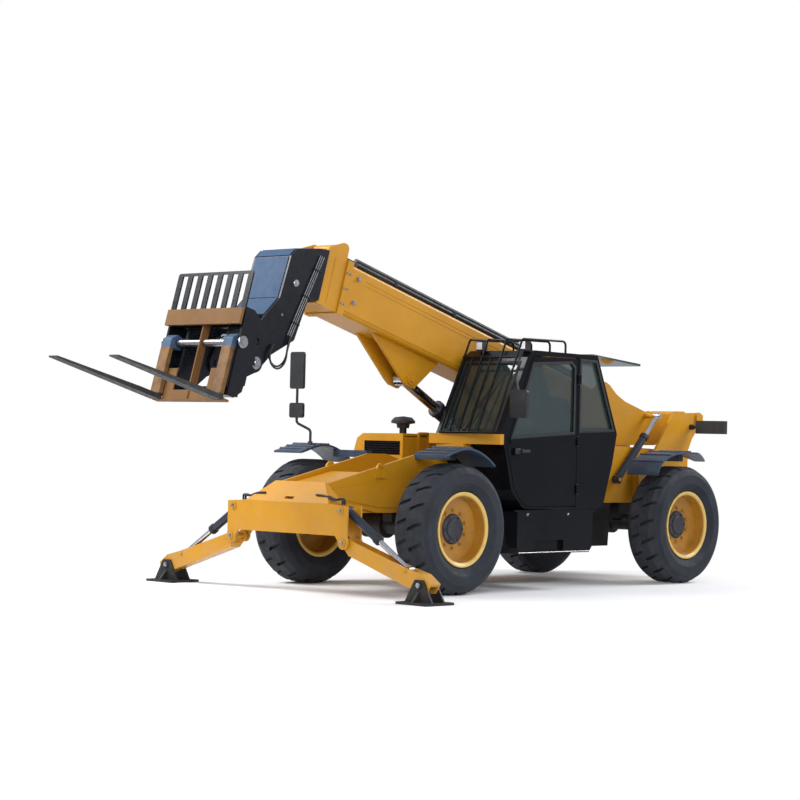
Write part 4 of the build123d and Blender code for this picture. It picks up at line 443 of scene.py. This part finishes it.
world = bpy.data.worlds.new("studio")
bpy.context.scene.world = world
world.use_nodes = True
tree = world.node_tree
background = tree.nodes["Background"]
background.inputs["Color"].default_value = (0.86, 0.90, 1.0, 1.0)
background.inputs["Strength"].default_value = 0.55
bright = tree.nodes.new("ShaderNodeBackground")
bright.inputs["Color"].default_value = (1, 1, 1, 1)
bright.inputs["Strength"].default_value = 1.0
path = tree.nodes.new("ShaderNodeLightPath")
seen = tree.nodes.new("ShaderNodeMath")
seen.operation = "MAXIMUM"
tree.links.new(path.outputs["Is Camera Ray"], seen.inputs[0])
tree.links.new(path.outputs["Is Transmission Ray"], seen.inputs[1])
pick = tree.nodes.new("ShaderNodeMixShader")
tree.links.new(seen.outputs[0], pick.inputs["Fac"])
tree.links.new(background.outputs[0], pick.inputs[1])
tree.links.new(bright.outputs[0], pick.inputs[2])
tree.links.new(pick.outputs[0], tree.nodes["World Output"].inputs["Surface"])


def softbox(name, place, aim, size, power):
    """Area lamp turned to a point on the machine."""
    data = bpy.data.lights.new(name, "AREA")
    data.shape = "RECTANGLE"
    data.size, data.size_y = size
    data.energy = power
    lamp = bpy.data.objects.new(name, data)
    bpy.context.scene.collection.objects.link(lamp)
    lamp.location = place
    lamp.rotation_mode = "QUATERNION"
    lamp.rotation_quaternion = (Vector(aim) - Vector(place)).to_track_quat("-Z", "Y")


softbox("key_light", (7.0, -5.0, 9.0), (0, 0, 1.2), (7.0, 5.0), 1350.0)
softbox("fill_light", (9.0, 11.0, 6.0), (0, 0, 1.2), (8.0, 6.0), 850.0)
softbox("rim_light", (-9.0, 4.0, 7.0), (-1.0, 0, 1.5), (6.0, 4.0), 700.0)


# ------------------------------------------------------------------ makers
def fit(obj, body):
    """Finishes a piece: the body it moves with."""
    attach(obj, body)
    return obj


def soften(obj, width, segments=2):
    """Rounded edges and smooth shading."""
    bevel = obj.modifiers.new("edges", "BEVEL")
    bevel.width = width
    bevel.segments = segments
    bevel.limit_method = "ANGLE"
    for poly in obj.data.polygons:
        poly.use_smooth = True
    normals = obj.modifiers.new("normals", "WEIGHTED_NORMAL")
    normals.keep_sharp = True
    return obj


def face_outwards(obj):
    """Turns every face of a closed mesh outwards."""
    mesh = bmesh.new()
    mesh.from_mesh(obj.data)
    bmesh.ops.recalc_face_normals(mesh, faces=mesh.faces)
    mesh.to_mesh(obj.data)
    mesh.free()


def solid(name, rings, mat, body, soft=0.0):
    """Closed pieces from lists of equal rings of points, each list one loft with capped ends."""
    verts, faces = [], []
    for loft in rings:
        count = len(loft[0])
        base = len(verts)
        for ring in loft:
            verts += [Vector(p) for p in ring]
        for i in range(len(loft) - 1):
            for k in range(count):
                a = base + i * count + k
                b = base + i * count + (k + 1) % count
                faces.append((a, b, b + count, a + count))
        faces.append(tuple(base + k for k in reversed(range(count))))
        faces.append(tuple(base + (len(loft) - 1) * count + k for k in range(count)))
    obj = object_from(name, verts, faces, mat)
    face_outwards(obj)
    if soft:
        soften(obj, soft)
    return fit(obj, body)


def frame_of(axis):
    """Two directions square to an axis."""
    axis = Vector(axis).normalized()
    helper = Vector((0, 0, 1)) if abs(axis.z) < 0.9 else Vector((1, 0, 0))
    u = axis.cross(helper).normalized()
    return axis, u, axis.cross(u)


def ring(centre, axis, radius, count, turn=0.0):
    """Round ring of points square to an axis."""
    _, u, v = frame_of(axis)
    angles = [turn + 2 * math.pi * k / count for k in range(count)]
    return [Vector(centre) + radius * (math.cos(a) * u + math.sin(a) * v) for a in angles]


def turned(centre, axis, profile, count=24):
    """Turned form: (distance along the axis, radius) pairs."""
    direction = Vector(axis).normalized()
    return [ring(Vector(centre) + direction * run, axis, radius, count) for run, radius in profile]


def hex_bolt(centre, axis, across, height):
    """Washer and hexagon head."""
    direction = Vector(axis).normalized()
    centre = Vector(centre)
    washer = turned(centre, axis, [(0, across * 0.78), (height * 0.25, across * 0.78)], 16)
    head = [
        ring(centre + direction * height * 0.25, axis, across * 0.58, 6),
        ring(centre + direction * height * 0.88, axis, across * 0.58, 6),
        ring(centre + direction * height, axis, across * 0.48, 6),
    ]
    return [washer, head]


def box_loft(low, high):
    """Plain box as one loft, for pieces that then get rounded edges."""
    (x0, y0, z0), (x1, y1, z1) = low, high
    return [[(x0, y0, z), (x1, y0, z), (x1, y1, z), (x0, y1, z)] for z in (z0, z1)]


def slab(points, normal, thickness):
    """Flat plate through a loop of points, thickened along a normal."""
    shift = Vector(normal).normalized() * thickness
    return [[Vector(p) for p in points], [Vector(p) + shift for p in points]]


def pipe(name, points, radius, mat, body, order=3):
    """Round tube along one smooth open spline."""
    data = bpy.data.curves.new(name, "CURVE")
    data.dimensions = "3D"
    data.bevel_depth = radius
    data.bevel_resolution = 3
    data.resolution_u = 10
    data.use_fill_caps = True
    spline = data.splines.new("NURBS")
    spline.points.add(len(points) - 1)
    for point, place in zip(spline.points, points):
        point.co = (*place, 1.0)
    spline.order_u = order
    spline.use_endpoint_u = True
    obj = bpy.data.objects.new(name, data)
    bpy.context.scene.collection.objects.link(obj)
    data.materials.append(mat)
    return fit(obj, body)


def line_length(curve):
    """Length of a curve's own smooth line."""
    bare = curve.copy()
    bare.data = curve.data.copy()
    bare.data.bevel_depth = 0.0
    mesh = bpy.data.meshes.new_from_object(bare)
    run = [v.co.copy() for v in mesh.vertices]
    bpy.data.objects.remove(bare)
    return sum((b - a).length for a, b in zip(run[:-1], run[1:]))


def hose(name, points, radius, body):
    """Hydraulic hose that hangs free between two fittings."""
    made = pipe(name, points, radius, hose_rubber, body)
    round(line_length(made), 3)
    return made


# ------------------------------------------------------------------ wheels
RIM_FACE, HUB_FACE = 0.0262, 0.0452
NUTS, NUT_CIRCLE = 10, 0.176
HUB_BOLTS, HUB_CIRCLE = 6, 0.118


def bolt_circle(x, y, side, radius, angles, across, height):
    """Bolts round an axle line along Y."""
    made = []
    for a in angles:
        centre = (x + radius * math.cos(a), y, AXLE_Z + radius * math.sin(a))
        made += hex_bolt(centre, (0, side, 0), across, height)
    return made


for end, x in (("front", FRONT_X), ("rear", REAR_X)):
    for side_name, side in SIDES:
        body = f"wheel_{end}_{side_name}"
        nuts = bolt_circle(x, side * (WHEEL_Y + RIM_FACE), side, NUT_CIRCLE,
                           [2 * math.pi * (k + 0.5) / NUTS for k in range(NUTS)], 0.022, 0.018)
        solid(f"wheel_nuts_{end}_{side_name}", nuts, nut_paint, body)
        cap_y = side * (WHEEL_Y + HUB_FACE)
        cap = turned((x, cap_y, AXLE_Z), (0, side, 0),
                     [(0, 0.098), (0.010, 0.096), (0.016, 0.084), (0.018, 0.0)], 32)
        bolts = bolt_circle(x, cap_y, side, HUB_CIRCLE,
                            [2 * math.pi * k / HUB_BOLTS for k in range(HUB_BOLTS)], 0.014, 0.012)
        solid(f"hub_cap_{end}_{side_name}", [cap, *bolts], hub_blue, body)
        stem_at = (x + 0.296, side * (WHEEL_Y + 0.060), AXLE_Z + 0.02)
        stem = turned(stem_at, (-0.5, side, 0), [(0, 0.006), (0.03, 0.006), (0.032, 0.008), (0.046, 0.008)], 10)
        solid(f"valve_stem_{end}_{side_name}", [stem], black_plastic, body)

# ------------------------------------------------------------------ boom pipes and marks
TUBE_TOP = -0.162
TUBE_BOTTOM = -0.658
BASE_END = 5.64
WALL_Y, PAD_Y, RING_Y = 0.2095, 0.2172, 0.2282


def top_line(name, stations, lift, y, radius):
    """Pipe that runs straight along the top of the base tube."""
    pipe(name, [boom(s, TUBE_TOP + lift, y) for s in stations], radius, hose_rubber, "boom_base")


def top_strap(s, width, lift, y0, y1, thickness):
    """Flat strap across the pipes on the base tube."""
    t = TUBE_TOP + lift
    corners = [boom(s, t, y0), boom(s + width, t, y0), boom(s + width, t, y1), boom(s, t, y1)]
    return slab(corners, ACROSS, thickness)


for k in range(4):
    top_line(f"boom_pipe_{k + 1}", (2.91, 4.2, BASE_END - 0.12), 0.076, -0.112 + 0.032 * k, 0.0125)
for k, (y, lift) in enumerate(((0.178, 0.025), (0.126, 0.025), (0.152, 0.068))):
    top_line(f"boom_bundle_{k + 1}", (1.9, 3.6, BASE_END - 0.16), lift, y, 0.024)
clips = [top_strap(s, 0.04, 0.003, 0.096, 0.204, 0.050) for s in (2.2, 3.1, 4.0, 4.9)]
clips += [top_strap(s, 0.05, 0.089, -0.13, 0.004, 0.008) for s in (3.0, 3.55, 4.1, 4.65, 5.2)]
solid("pipe_clips", clips, frame_black, "boom_base", 0.002)
pads = []
for _, side in SIDES:
    for s, t in ((BASE_END - 0.19, TUBE_TOP - 0.11), (BASE_END - 0.19, TUBE_BOTTOM + 0.15)):
        pads += hex_bolt(boom(s, t, side * PAD_Y), (0, side, 0), 0.03, 0.02)
    for s in (BASE_END - 0.06, BASE_END - 0.02):
        for t in (-0.27, -0.42, -0.57):
            pads += hex_bolt(boom(s, t, side * RING_Y), (0, side, 0), 0.016, 0.010)
solid("boom_side_bolts", pads, pin_steel, "boom_base")

# ------------------------------------------------------------------ boom head
HEAD_SIDE = 0.25
PANEL_Y, PANEL_GAP = 0.222, 0.006
panels = []
cover = [(0.06, -0.165), (0.405, -0.290), (0.458, -0.375), (0.480, -0.795), (0.6025, -1.0015)]
for (s0, t0), (s1, t1) in zip(cover[:-1], cover[1:]):
    run = Vector((s1 - s0, t1 - t0)).normalized()
    out = ALONG * -run.y + ACROSS * run.x
    a = (HEAD_S + s0 + run.x * PANEL_GAP, t0 + run.y * PANEL_GAP)
    b = (HEAD_S + s1 - run.x * PANEL_GAP, t1 - run.y * PANEL_GAP)
    corners = (boom(*a, -PANEL_Y), boom(*b, -PANEL_Y), boom(*b, PANEL_Y), boom(*a, PANEL_Y))
    panels.append(slab([corner + out * 0.001 for corner in corners], out, 0.006))
solid("head_front_panels", panels, steel_blue, "boom_fly", 0.0015)
for side_name, side in SIDES:
    y = side * (HEAD_SIDE + 0.012)
    for k, inset in enumerate((0.0, 0.024, 0.048)):
        pipe(f"head_pipe_{side_name}_{k + 1}",
             [boom(HEAD_S + 0.062 + inset, -0.25, y), boom(HEAD_S + 0.072 + inset, -0.30, y),
              boom(HEAD_S + 0.236 + inset, -1.04, y), boom(HEAD_S + 0.248 + inset, -1.095, y)],
             0.0055, pin_steel, "boom_fly")
    keepers = []
    for share in (0.12, 0.5, 0.88):
        s0, t0 = 0.036 + 0.164 * share, -0.30 - 0.74 * share
        keepers.append(slab([boom(HEAD_S + s0 + ds, t0 + dt, side * (HEAD_SIDE + 0.0005))
                             for ds, dt in ((0, 0), (0.10, 0), (0.10, -0.016), (0, -0.016))], (0, side, 0), 0.019))
    solid(f"head_pipe_clips_{side_name}", keepers, head_black, "boom_fly", 0.002)
    marks = [turned(boom(HEAD_S + 0.33, -0.60, side * (HEAD_SIDE + 0.0005)), (0, side, 0),
                    [(0, 0.034), (0.010, 0.034), (0.014, 0.030), (0.015, 0.0)], 28)]
    marks += hex_bolt(boom(HEAD_S + 0.41, -0.935, side * (HEAD_SIDE + 0.0005)), (0, side, 0), 0.016, 0.010)
    solid(f"head_bolts_{side_name}", marks, pin_steel, "boom_fly")

# ------------------------------------------------------------------ cylinder ends
GLAND_LENGTH = 0.05


def gland(name, base, eye, radius, length, body):
    """Threaded gland at the mouth of a cylinder."""
    axis = (Vector(eye) - Vector(base)).normalized()
    mouth = Vector(base) + axis * length
    profile = [(0, radius + 0.001), (0.004, radius + 0.008), (0.046, radius + 0.008),
               (0.050, radius + 0.004), (0.058, radius - 0.006)]
    solid(name, [turned(mouth - axis * GLAND_LENGTH, axis, profile, 28)], black_plastic, body)


def joint_at(name):
    return Vector(joints[name]["pos_m"])


for ram, radius, length in (
    ("levelling_ram", 0.042, 0.68), ("tilt_ram", 0.055, 0.45), ("lift_ram", 0.080, 2.70),
    ("stabiliser_ram_left", 0.040, 0.48), ("stabiliser_ram_right", 0.040, 0.48),
):
    gland(ram + "_gland", joint_at(ram + "_swing"), joint_at(ram + "_stroke"), radius, length, ram + "_barrel")

# ------------------------------------------------------------------ lamps and mirrors
lamp_low, lamp_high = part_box("work_lamps")
lenses = []
for y in (0.46, 1.016):
    lenses.append(box_loft((lamp_high.x, y - 0.037, lamp_low.z + 0.012),
                           (lamp_high.x + 0.008, y + 0.037, lamp_high.z - 0.008)))
solid("work_lamp_lenses", lenses, lens_clear, "chassis", 0.003)
rear_low, rear_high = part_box("rear_lamps")
red, amber_lens = [], []
for _, side in SIDES:
    for k, box in enumerate((0.0, 0.125, 0.25)):
        y0 = side * (0.53 + box)
        loft = box_loft((rear_low.x - 0.008, min(y0, y0 + side * 0.105), rear_low.z + 0.018),
                        (rear_low.x, max(y0, y0 + side * 0.105), rear_high.z - 0.018))
        (amber_lens if k == 2 else red).append(loft)
solid("rear_lamp_red", red, lens_red, "chassis", 0.003)
solid("rear_lamp_amber", amber_lens, lens_amber, "chassis", 0.003)
MIRROR_RIM = 0.012
faces = []
for _, x, y, z0, z1, half in (
    ("mast_top", FRONT_X + 0.20, -0.96, 1.94, 2.31, 0.095),
    ("mast_low", FRONT_X + 0.20, -0.96, 1.65, 1.80, 0.095),
    ("cab_side", CAB_X + 1.10, 1.27, 1.69, 1.96, 0.105),
):
    faces.append(box_loft((x - 0.022, y - half + MIRROR_RIM, z0 + MIRROR_RIM),
                          (x - 0.0152, y + half - MIRROR_RIM, z1 - MIRROR_RIM)))
solid("mirror_faces", faces, mirror_face, "chassis", 0.002)

# ------------------------------------------------------------------ cab trim
def inset_loop(points, amount):
    """Loop of 2-D points moved inwards by an amount."""
    count = len(points)
    turned_on = points[1:] + points[:1]
    area = sum(a[0] * b[1] - b[0] * a[1] for a, b in zip(points, turned_on))
    sign = 1 if area > 0 else -1
    result = []
    for i in range(count):
        before, here, after = Vector(points[i - 1]), Vector(points[i]), Vector(points[(i + 1) % count])
        d0, d1 = (here - before).normalized(), (after - here).normalized()
        n0, n1 = Vector((-d0.y, d0.x)) * sign, Vector((-d1.y, d1.x)) * sign
        mid = (n0 + n1).normalized()
        result.append(here + mid * (amount / max(0.35, mid.dot(n0))))
    return result


def trim_ring(name, outline, place, out, outer, inner, thick, mat, body):
    """Flat ring that follows an outline, such as a window seal."""
    verts, quads = [], []
    loops = [inset_loop(outline, outer), inset_loop(outline, inner)]
    count = len(outline)
    direction = Vector(out).normalized()
    for lift in (0.0, thick):
        for loop in loops:
            verts += [place(p) + direction * lift for p in loop]
    for k in range(count):
        n = (k + 1) % count
        a, b, c, d = 0, count, 2 * count, 3 * count
        quads += [(c + k, c + n, d + n, d + k), (a + k, b + k, b + n, a + n),
                  (a + k, a + n, c + n, c + k), (b + k, d + k, d + n, b + n)]
    obj = object_from(name, verts, quads, mat)
    face_outwards(obj)
    soften(obj, min(thick * 0.4, 0.003))
    return fit(obj, body)


CAB_LEFT = 1.11
CAB_RIGHT = 0.272
door_window = [(0.055, 1.56), (1.01, 1.50), (0.705, 2.225), (0.11, 2.26), (0.055, 2.21)]
quarter_window = [(-0.04, 1.58), (-0.585, 1.60), (-0.29, 2.285), (-0.04, 2.29)]
right_window = [(-0.48, 1.62), (1.04, 1.56), (0.74, 2.24), (-0.26, 2.26)]
for name, outline, y, out, body in (
    ("door_window_seal", door_window, CAB_LEFT, 1, "cab_door"),
    ("quarter_window_seal", quarter_window, CAB_LEFT, 1, "chassis"),
    ("right_window_seal", right_window, CAB_RIGHT, -1, "chassis"),
):
    trim_ring(name, outline, lambda p, y=y: Vector((CAB_X + p[0], y, p[1])), (0, out, 0), -0.016, 0.012, 0.006,
              seal_rubber, body)
SCREEN_FOOT = Vector((CAB_X + 1.18, 0, 1.531))
SCREEN_TOP = Vector((CAB_X + 0.80, 0, 2.29))
screen_run = SCREEN_TOP - SCREEN_FOOT
screen_out = Vector((screen_run.z, 0, -screen_run.x)).normalized()


def on_screen(share, y):
    """Point on the outer face of the windscreen frame."""
    return SCREEN_FOOT + screen_run * share + Vector((0, y, 0))


screen_outline = [(0.04, 0.347), (0.93, 0.347), (0.93, 1.035), (0.04, 1.035)]
trim_ring("windscreen_seal", [(p[0] * screen_run.length, p[1]) for p in screen_outline],
          lambda p: on_screen(p[0] / screen_run.length, p[1]), screen_out, -0.014, 0.014, 0.007,
          seal_rubber, "chassis")
pivot = on_screen(0.02, 0.62) + screen_out * 0.012
tip = on_screen(0.60, 0.80) + screen_out * 0.022
arm_dir = (tip - pivot).normalized()
arm_side = arm_dir.cross(screen_out).normalized()
wiper = [
    slab([pivot - arm_side * 0.011, pivot + arm_side * 0.011,
          tip + arm_side * 0.006, tip - arm_side * 0.006], screen_out, 0.006),
    slab([tip - arm_dir * 0.22 - arm_side * 0.006, tip + arm_dir * 0.20 - arm_side * 0.006,
          tip + arm_dir * 0.20 + arm_side * 0.006, tip - arm_dir * 0.22 + arm_side * 0.006], -screen_out, 0.014),
    turned(pivot - screen_out * 0.008, screen_out, [(0, 0.020), (0.022, 0.020), (0.028, 0.014)], 20),
]
solid("windscreen_wiper", wiper, black_plastic, "chassis", 0.0015)

handle = [
    box_loft((CAB_X + 0.905, CAB_LEFT + 0.022, 1.345), (CAB_X + 0.985, CAB_LEFT + 0.030, 1.395)),
    box_loft((CAB_X + 0.875, CAB_LEFT + 0.020, 1.352), (CAB_X + 0.905, CAB_LEFT + 0.050, 1.388)),
    box_loft((CAB_X + 0.785, CAB_LEFT + 0.036, 1.356), (CAB_X + 0.880, CAB_LEFT + 0.050, 1.384)),
]
solid("door_handle", handle, black_plastic, "cab_door", 0.006)
HINGE_R = 0.0135
covers = []
for z in (1.0, 1.48, 2.1):
    covers += [turned((CAB_X, CAB_LEFT + 0.009, z - 0.052), (0, 0, 1),
                      [(0, 0.006), (0.002, HINGE_R), (0.006, HINGE_R), (0.0068, HINGE_R)], 18),
               turned((CAB_X, CAB_LEFT + 0.009, z + 0.0455), (0, 0, 1),
                      [(0, HINGE_R), (0.004, HINGE_R), (0.007, 0.006)], 18)]
solid("hinge_caps", covers, black_plastic, "chassis")

# ------------------------------------------------------------------ seat
def cushion(name, low, high, lean, channels, mat):
    """Crowned pad with pulled-in sides and sewn channels, leaned back about its lower rear edge."""
    mesh = bmesh.new()
    bmesh.ops.create_cube(mesh, size=2.0)
    bmesh.ops.subdivide_edges(mesh, edges=mesh.edges, cuts=11, use_grid_fill=True)
    half = (Vector(high) - Vector(low)) / 2
    centre = (Vector(high) + Vector(low)) / 2
    hinge = Vector((low[0], centre.y, low[2]))
    turn = Matrix.Rotation(lean, 4, "Y")
    for vert in mesh.verts:
        x, y, z = vert.co
        side = max(abs(x), abs(y), abs(z))
        round_by = (abs(x) ** 5 + abs(y) ** 5 + abs(z) ** 5) ** 0.2
        point = Vector((x, y, z)) * (side / round_by) if round_by else Vector((0, 0, 0))
        seam = 0.0
        for place in channels:
            seam = max(seam, math.exp(-((y - place) / 0.055) ** 2))
        face = 1.0 - 0.055 * seam * (1.0 if abs(y) < 0.92 else 0.0)
        crown = 1.0 - 0.07 * (x * x + y * y) / 2
        point = Vector((point.x * half.x, point.y * half.y, point.z * half.z * crown * face))
        vert.co = hinge + turn @ (centre + point - hinge)
    made = bpy.data.meshes.new(name)
    mesh.to_mesh(made)
    mesh.free()
    obj = bpy.data.objects.new(name, made)
    bpy.context.scene.collection.objects.link(obj)
    made.materials.append(mat)
    for poly in made.polygons:
        poly.use_smooth = True
    smooth = obj.modifiers.new("smooth", "SUBSURF")
    smooth.levels = smooth.render_levels = 1
    return fit(obj, "chassis")


SEAT_CHANNELS = (-0.5, 0.5)
seat_pad = cushion("seat_cushion", (CAB_X - 0.125, 0.485, 1.168), (CAB_X + 0.345, 0.895, 1.288),
                   math.radians(-2), SEAT_CHANNELS, seat_cloth)
seat_back = cushion("seat_backrest", (CAB_X - 0.118, 0.49, 1.295), (CAB_X - 0.020, 0.89, 1.93),
                    math.radians(-8), SEAT_CHANNELS, seat_cloth)
base_loft = [
    [(CAB_X + x0, y0, z), (CAB_X + x1, y0, z), (CAB_X + x1, y1, z), (CAB_X + x0, y1, z)]
    for x0, x1, y0, y1, z in (
        (-0.05, 0.25, 0.57, 0.81, 0.852), (-0.02, 0.22, 0.60, 0.78, 1.0),
        (-0.10, 0.30, 0.52, 0.86, 1.13), (-0.10, 0.30, 0.52, 0.86, 1.166))
]
base = solid("seat_base", [base_loft], black_plastic, "chassis", 0.01)
for piece in (seat_pad, seat_back, base):
    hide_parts("seat")

# ------------------------------------------------------------------ hood fittings
hood_low, hood_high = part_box("engine_hood")
HOOD_FRONT = FRONT_X - 0.72
latches = [box_loft((x - 0.05, hood_low.y - 0.012, 1.10), (x + 0.05, hood_low.y, 1.17))
           for x in (hood_low.x + 0.45, HOOD_FRONT - 0.45)]
solid("hood_latches", latches, black_plastic, "engine_hood", 0.006)
mesh_bars = []
for k in range(30):
    y = -0.885 + 0.0165 * k
    mesh_bars.append(box_loft((HOOD_FRONT - 0.024, y - 0.0015, 1.301), (HOOD_FRONT - 0.022, y + 0.0015, 1.439)))
solid("grille_mesh", mesh_bars, black_plastic, "engine_hood")

# ------------------------------------------------------------------ hoses
for k, y in enumerate((0.262, 0.276)):
    drop = 0.022 * k
    hose(f"head_hose_{k + 1}",
         [boom(HEAD_S + 0.248 + 0.024 * k, -1.095, y), boom(HEAD_S + 0.262 + 0.020 * k, -1.20, y + 0.004),
          boom(HEAD_S + 0.262, -1.33 - drop, y + 0.010), boom(HEAD_S + 0.345, -1.43 - drop, y + 0.014),
          boom(HEAD_S + 0.455, -1.40 - drop, y + 0.014), boom(HEAD_S + 0.485, -1.30, y + 0.006),
          boom(HEAD_S + 0.450, -1.235, y)],
         0.009, "boom_fly")
STAB_X = FRONT_X + 1.25
for side_name, side in SIDES:
    for k in (0, 1):
        hose(f"stabiliser_hose_{side_name}_{k + 1}",
             [(STAB_X - back - 0.03 * k, side * y, z) for back, y, z in (
                 (0.055, 0.34, 0.925), (0.060, 0.45, 0.925), (0.065, 0.57, 0.880),
                 (0.070, 0.655, 0.905), (0.075, 0.668, 0.870), (0.075, 0.663, 0.846))],
             0.010, "chassis")

# ------------------------------------------------------------------ carriage and stabiliser trim
FORK_BAR_S, FORK_BAR_T = CARRIAGE_S - 0.042, -1.410
SLEEVE_R = 0.0328
sleeves = []
for _, side in SIDES:
    for y0, y1 in ((0.012, 0.338), (0.473, 0.474)):
        sleeves.append(turned(boom(FORK_BAR_S, FORK_BAR_T, side * y0), (0, side, 0),
                              [(0, SLEEVE_R), (y1 - y0, SLEEVE_R)], 28))
solid("fork_bar_sleeve", sleeves, pin_steel, "carriage")
KEEPER_R, KEEPER_Y = 0.060, 0.2858
keepers = []
for _, side in SIDES:
    keepers.append(turned(boom(FORK_BAR_S, FORK_BAR_T, side * 0.5122), (0, side, 0),
                          [(0, 0.056), (0.008, 0.056), (0.012, 0.052),
                           (0.012, 0.030), (0.018, 0.028), (0.019, 0.0)], 30))
    loop = [boom(TILT_S + KEEPER_R * math.cos(a), TILT_T + KEEPER_R * math.sin(a), side * KEEPER_Y)
            for a in (math.radians(10 * k) for k in range(9, 28))]
    loop += [boom(TILT_S + 0.085, TILT_T - 0.018, side * KEEPER_Y), boom(TILT_S + 0.100, TILT_T, side * KEEPER_Y),
             boom(TILT_S + 0.085, TILT_T + 0.018, side * KEEPER_Y)]
    keepers.append(slab(loop, (0, side, 0), 0.008))
    keepers += hex_bolt(boom(TILT_S + 0.078, TILT_T, side * 0.294), (0, side, 0), 0.016, 0.010)
solid("pin_keepers", keepers, pin_steel, "carriage")
caps = [turned(boom(TILT_S, TILT_T, side * 0.3052), (0, side, 0),
               [(0, 0.031), (0.006, 0.031), (0.009, 0.027), (0.0095, 0.0)], 26) for _, side in SIDES]
solid("tilt_pin_caps", caps, pin_steel, "boom_fly")
bolts = []
for _, side in SIDES:
    for y, z in ((0.75, 0.50), (0.72, 0.79)):
        bolts += hex_bolt((STAB_X + 0.012, side * y, z), (1, 0, 0), 0.026, 0.016)
solid("stabiliser_pin_bolts", bolts, pin_steel, "chassis")
for side_name, side in SIDES:
    bolt = hex_bolt((LEG_X + 0.098, side * 1.69, 0.17), (1, 0, 0), 0.030, 0.016)
    solid(f"foot_pin_bolt_{side_name}", bolt, pin_steel, f"stabiliser_foot_{side_name}")
step_low, step_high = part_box("side_step")
pipe("step_rail", [(step_low.x + 0.06, step_high.y + 0.006, step_low.z + 0.012),
                   (step_high.x - 0.06, step_high.y + 0.006, step_low.z + 0.012)],
     0.004, pin_steel, "chassis", order=2)
cab_bolts = []
for x in (CAB_X + 0.12, CAB_X + 0.75):
    cab_bolts += hex_bolt((x, step_high.y, step_high.z - 0.045), (0, 1, 0), 0.018, 0.010)
solid("step_box_bolts", cab_bolts, pin_steel, "chassis")
ridges = []
for _, side in SIDES:
    for t in (-0.262, -0.300):
        ridges.append(slab([boom(1.9, t, side * WALL_Y), boom(BASE_END - 0.30, t, side * WALL_Y),
                            boom(BASE_END - 0.30, t + 0.006, side * WALL_Y), boom(1.9, t + 0.006, side * WALL_Y)],
                           (0, side, 0), 0.004))
solid("boom_side_ridges", ridges, yellow, "boom_base")
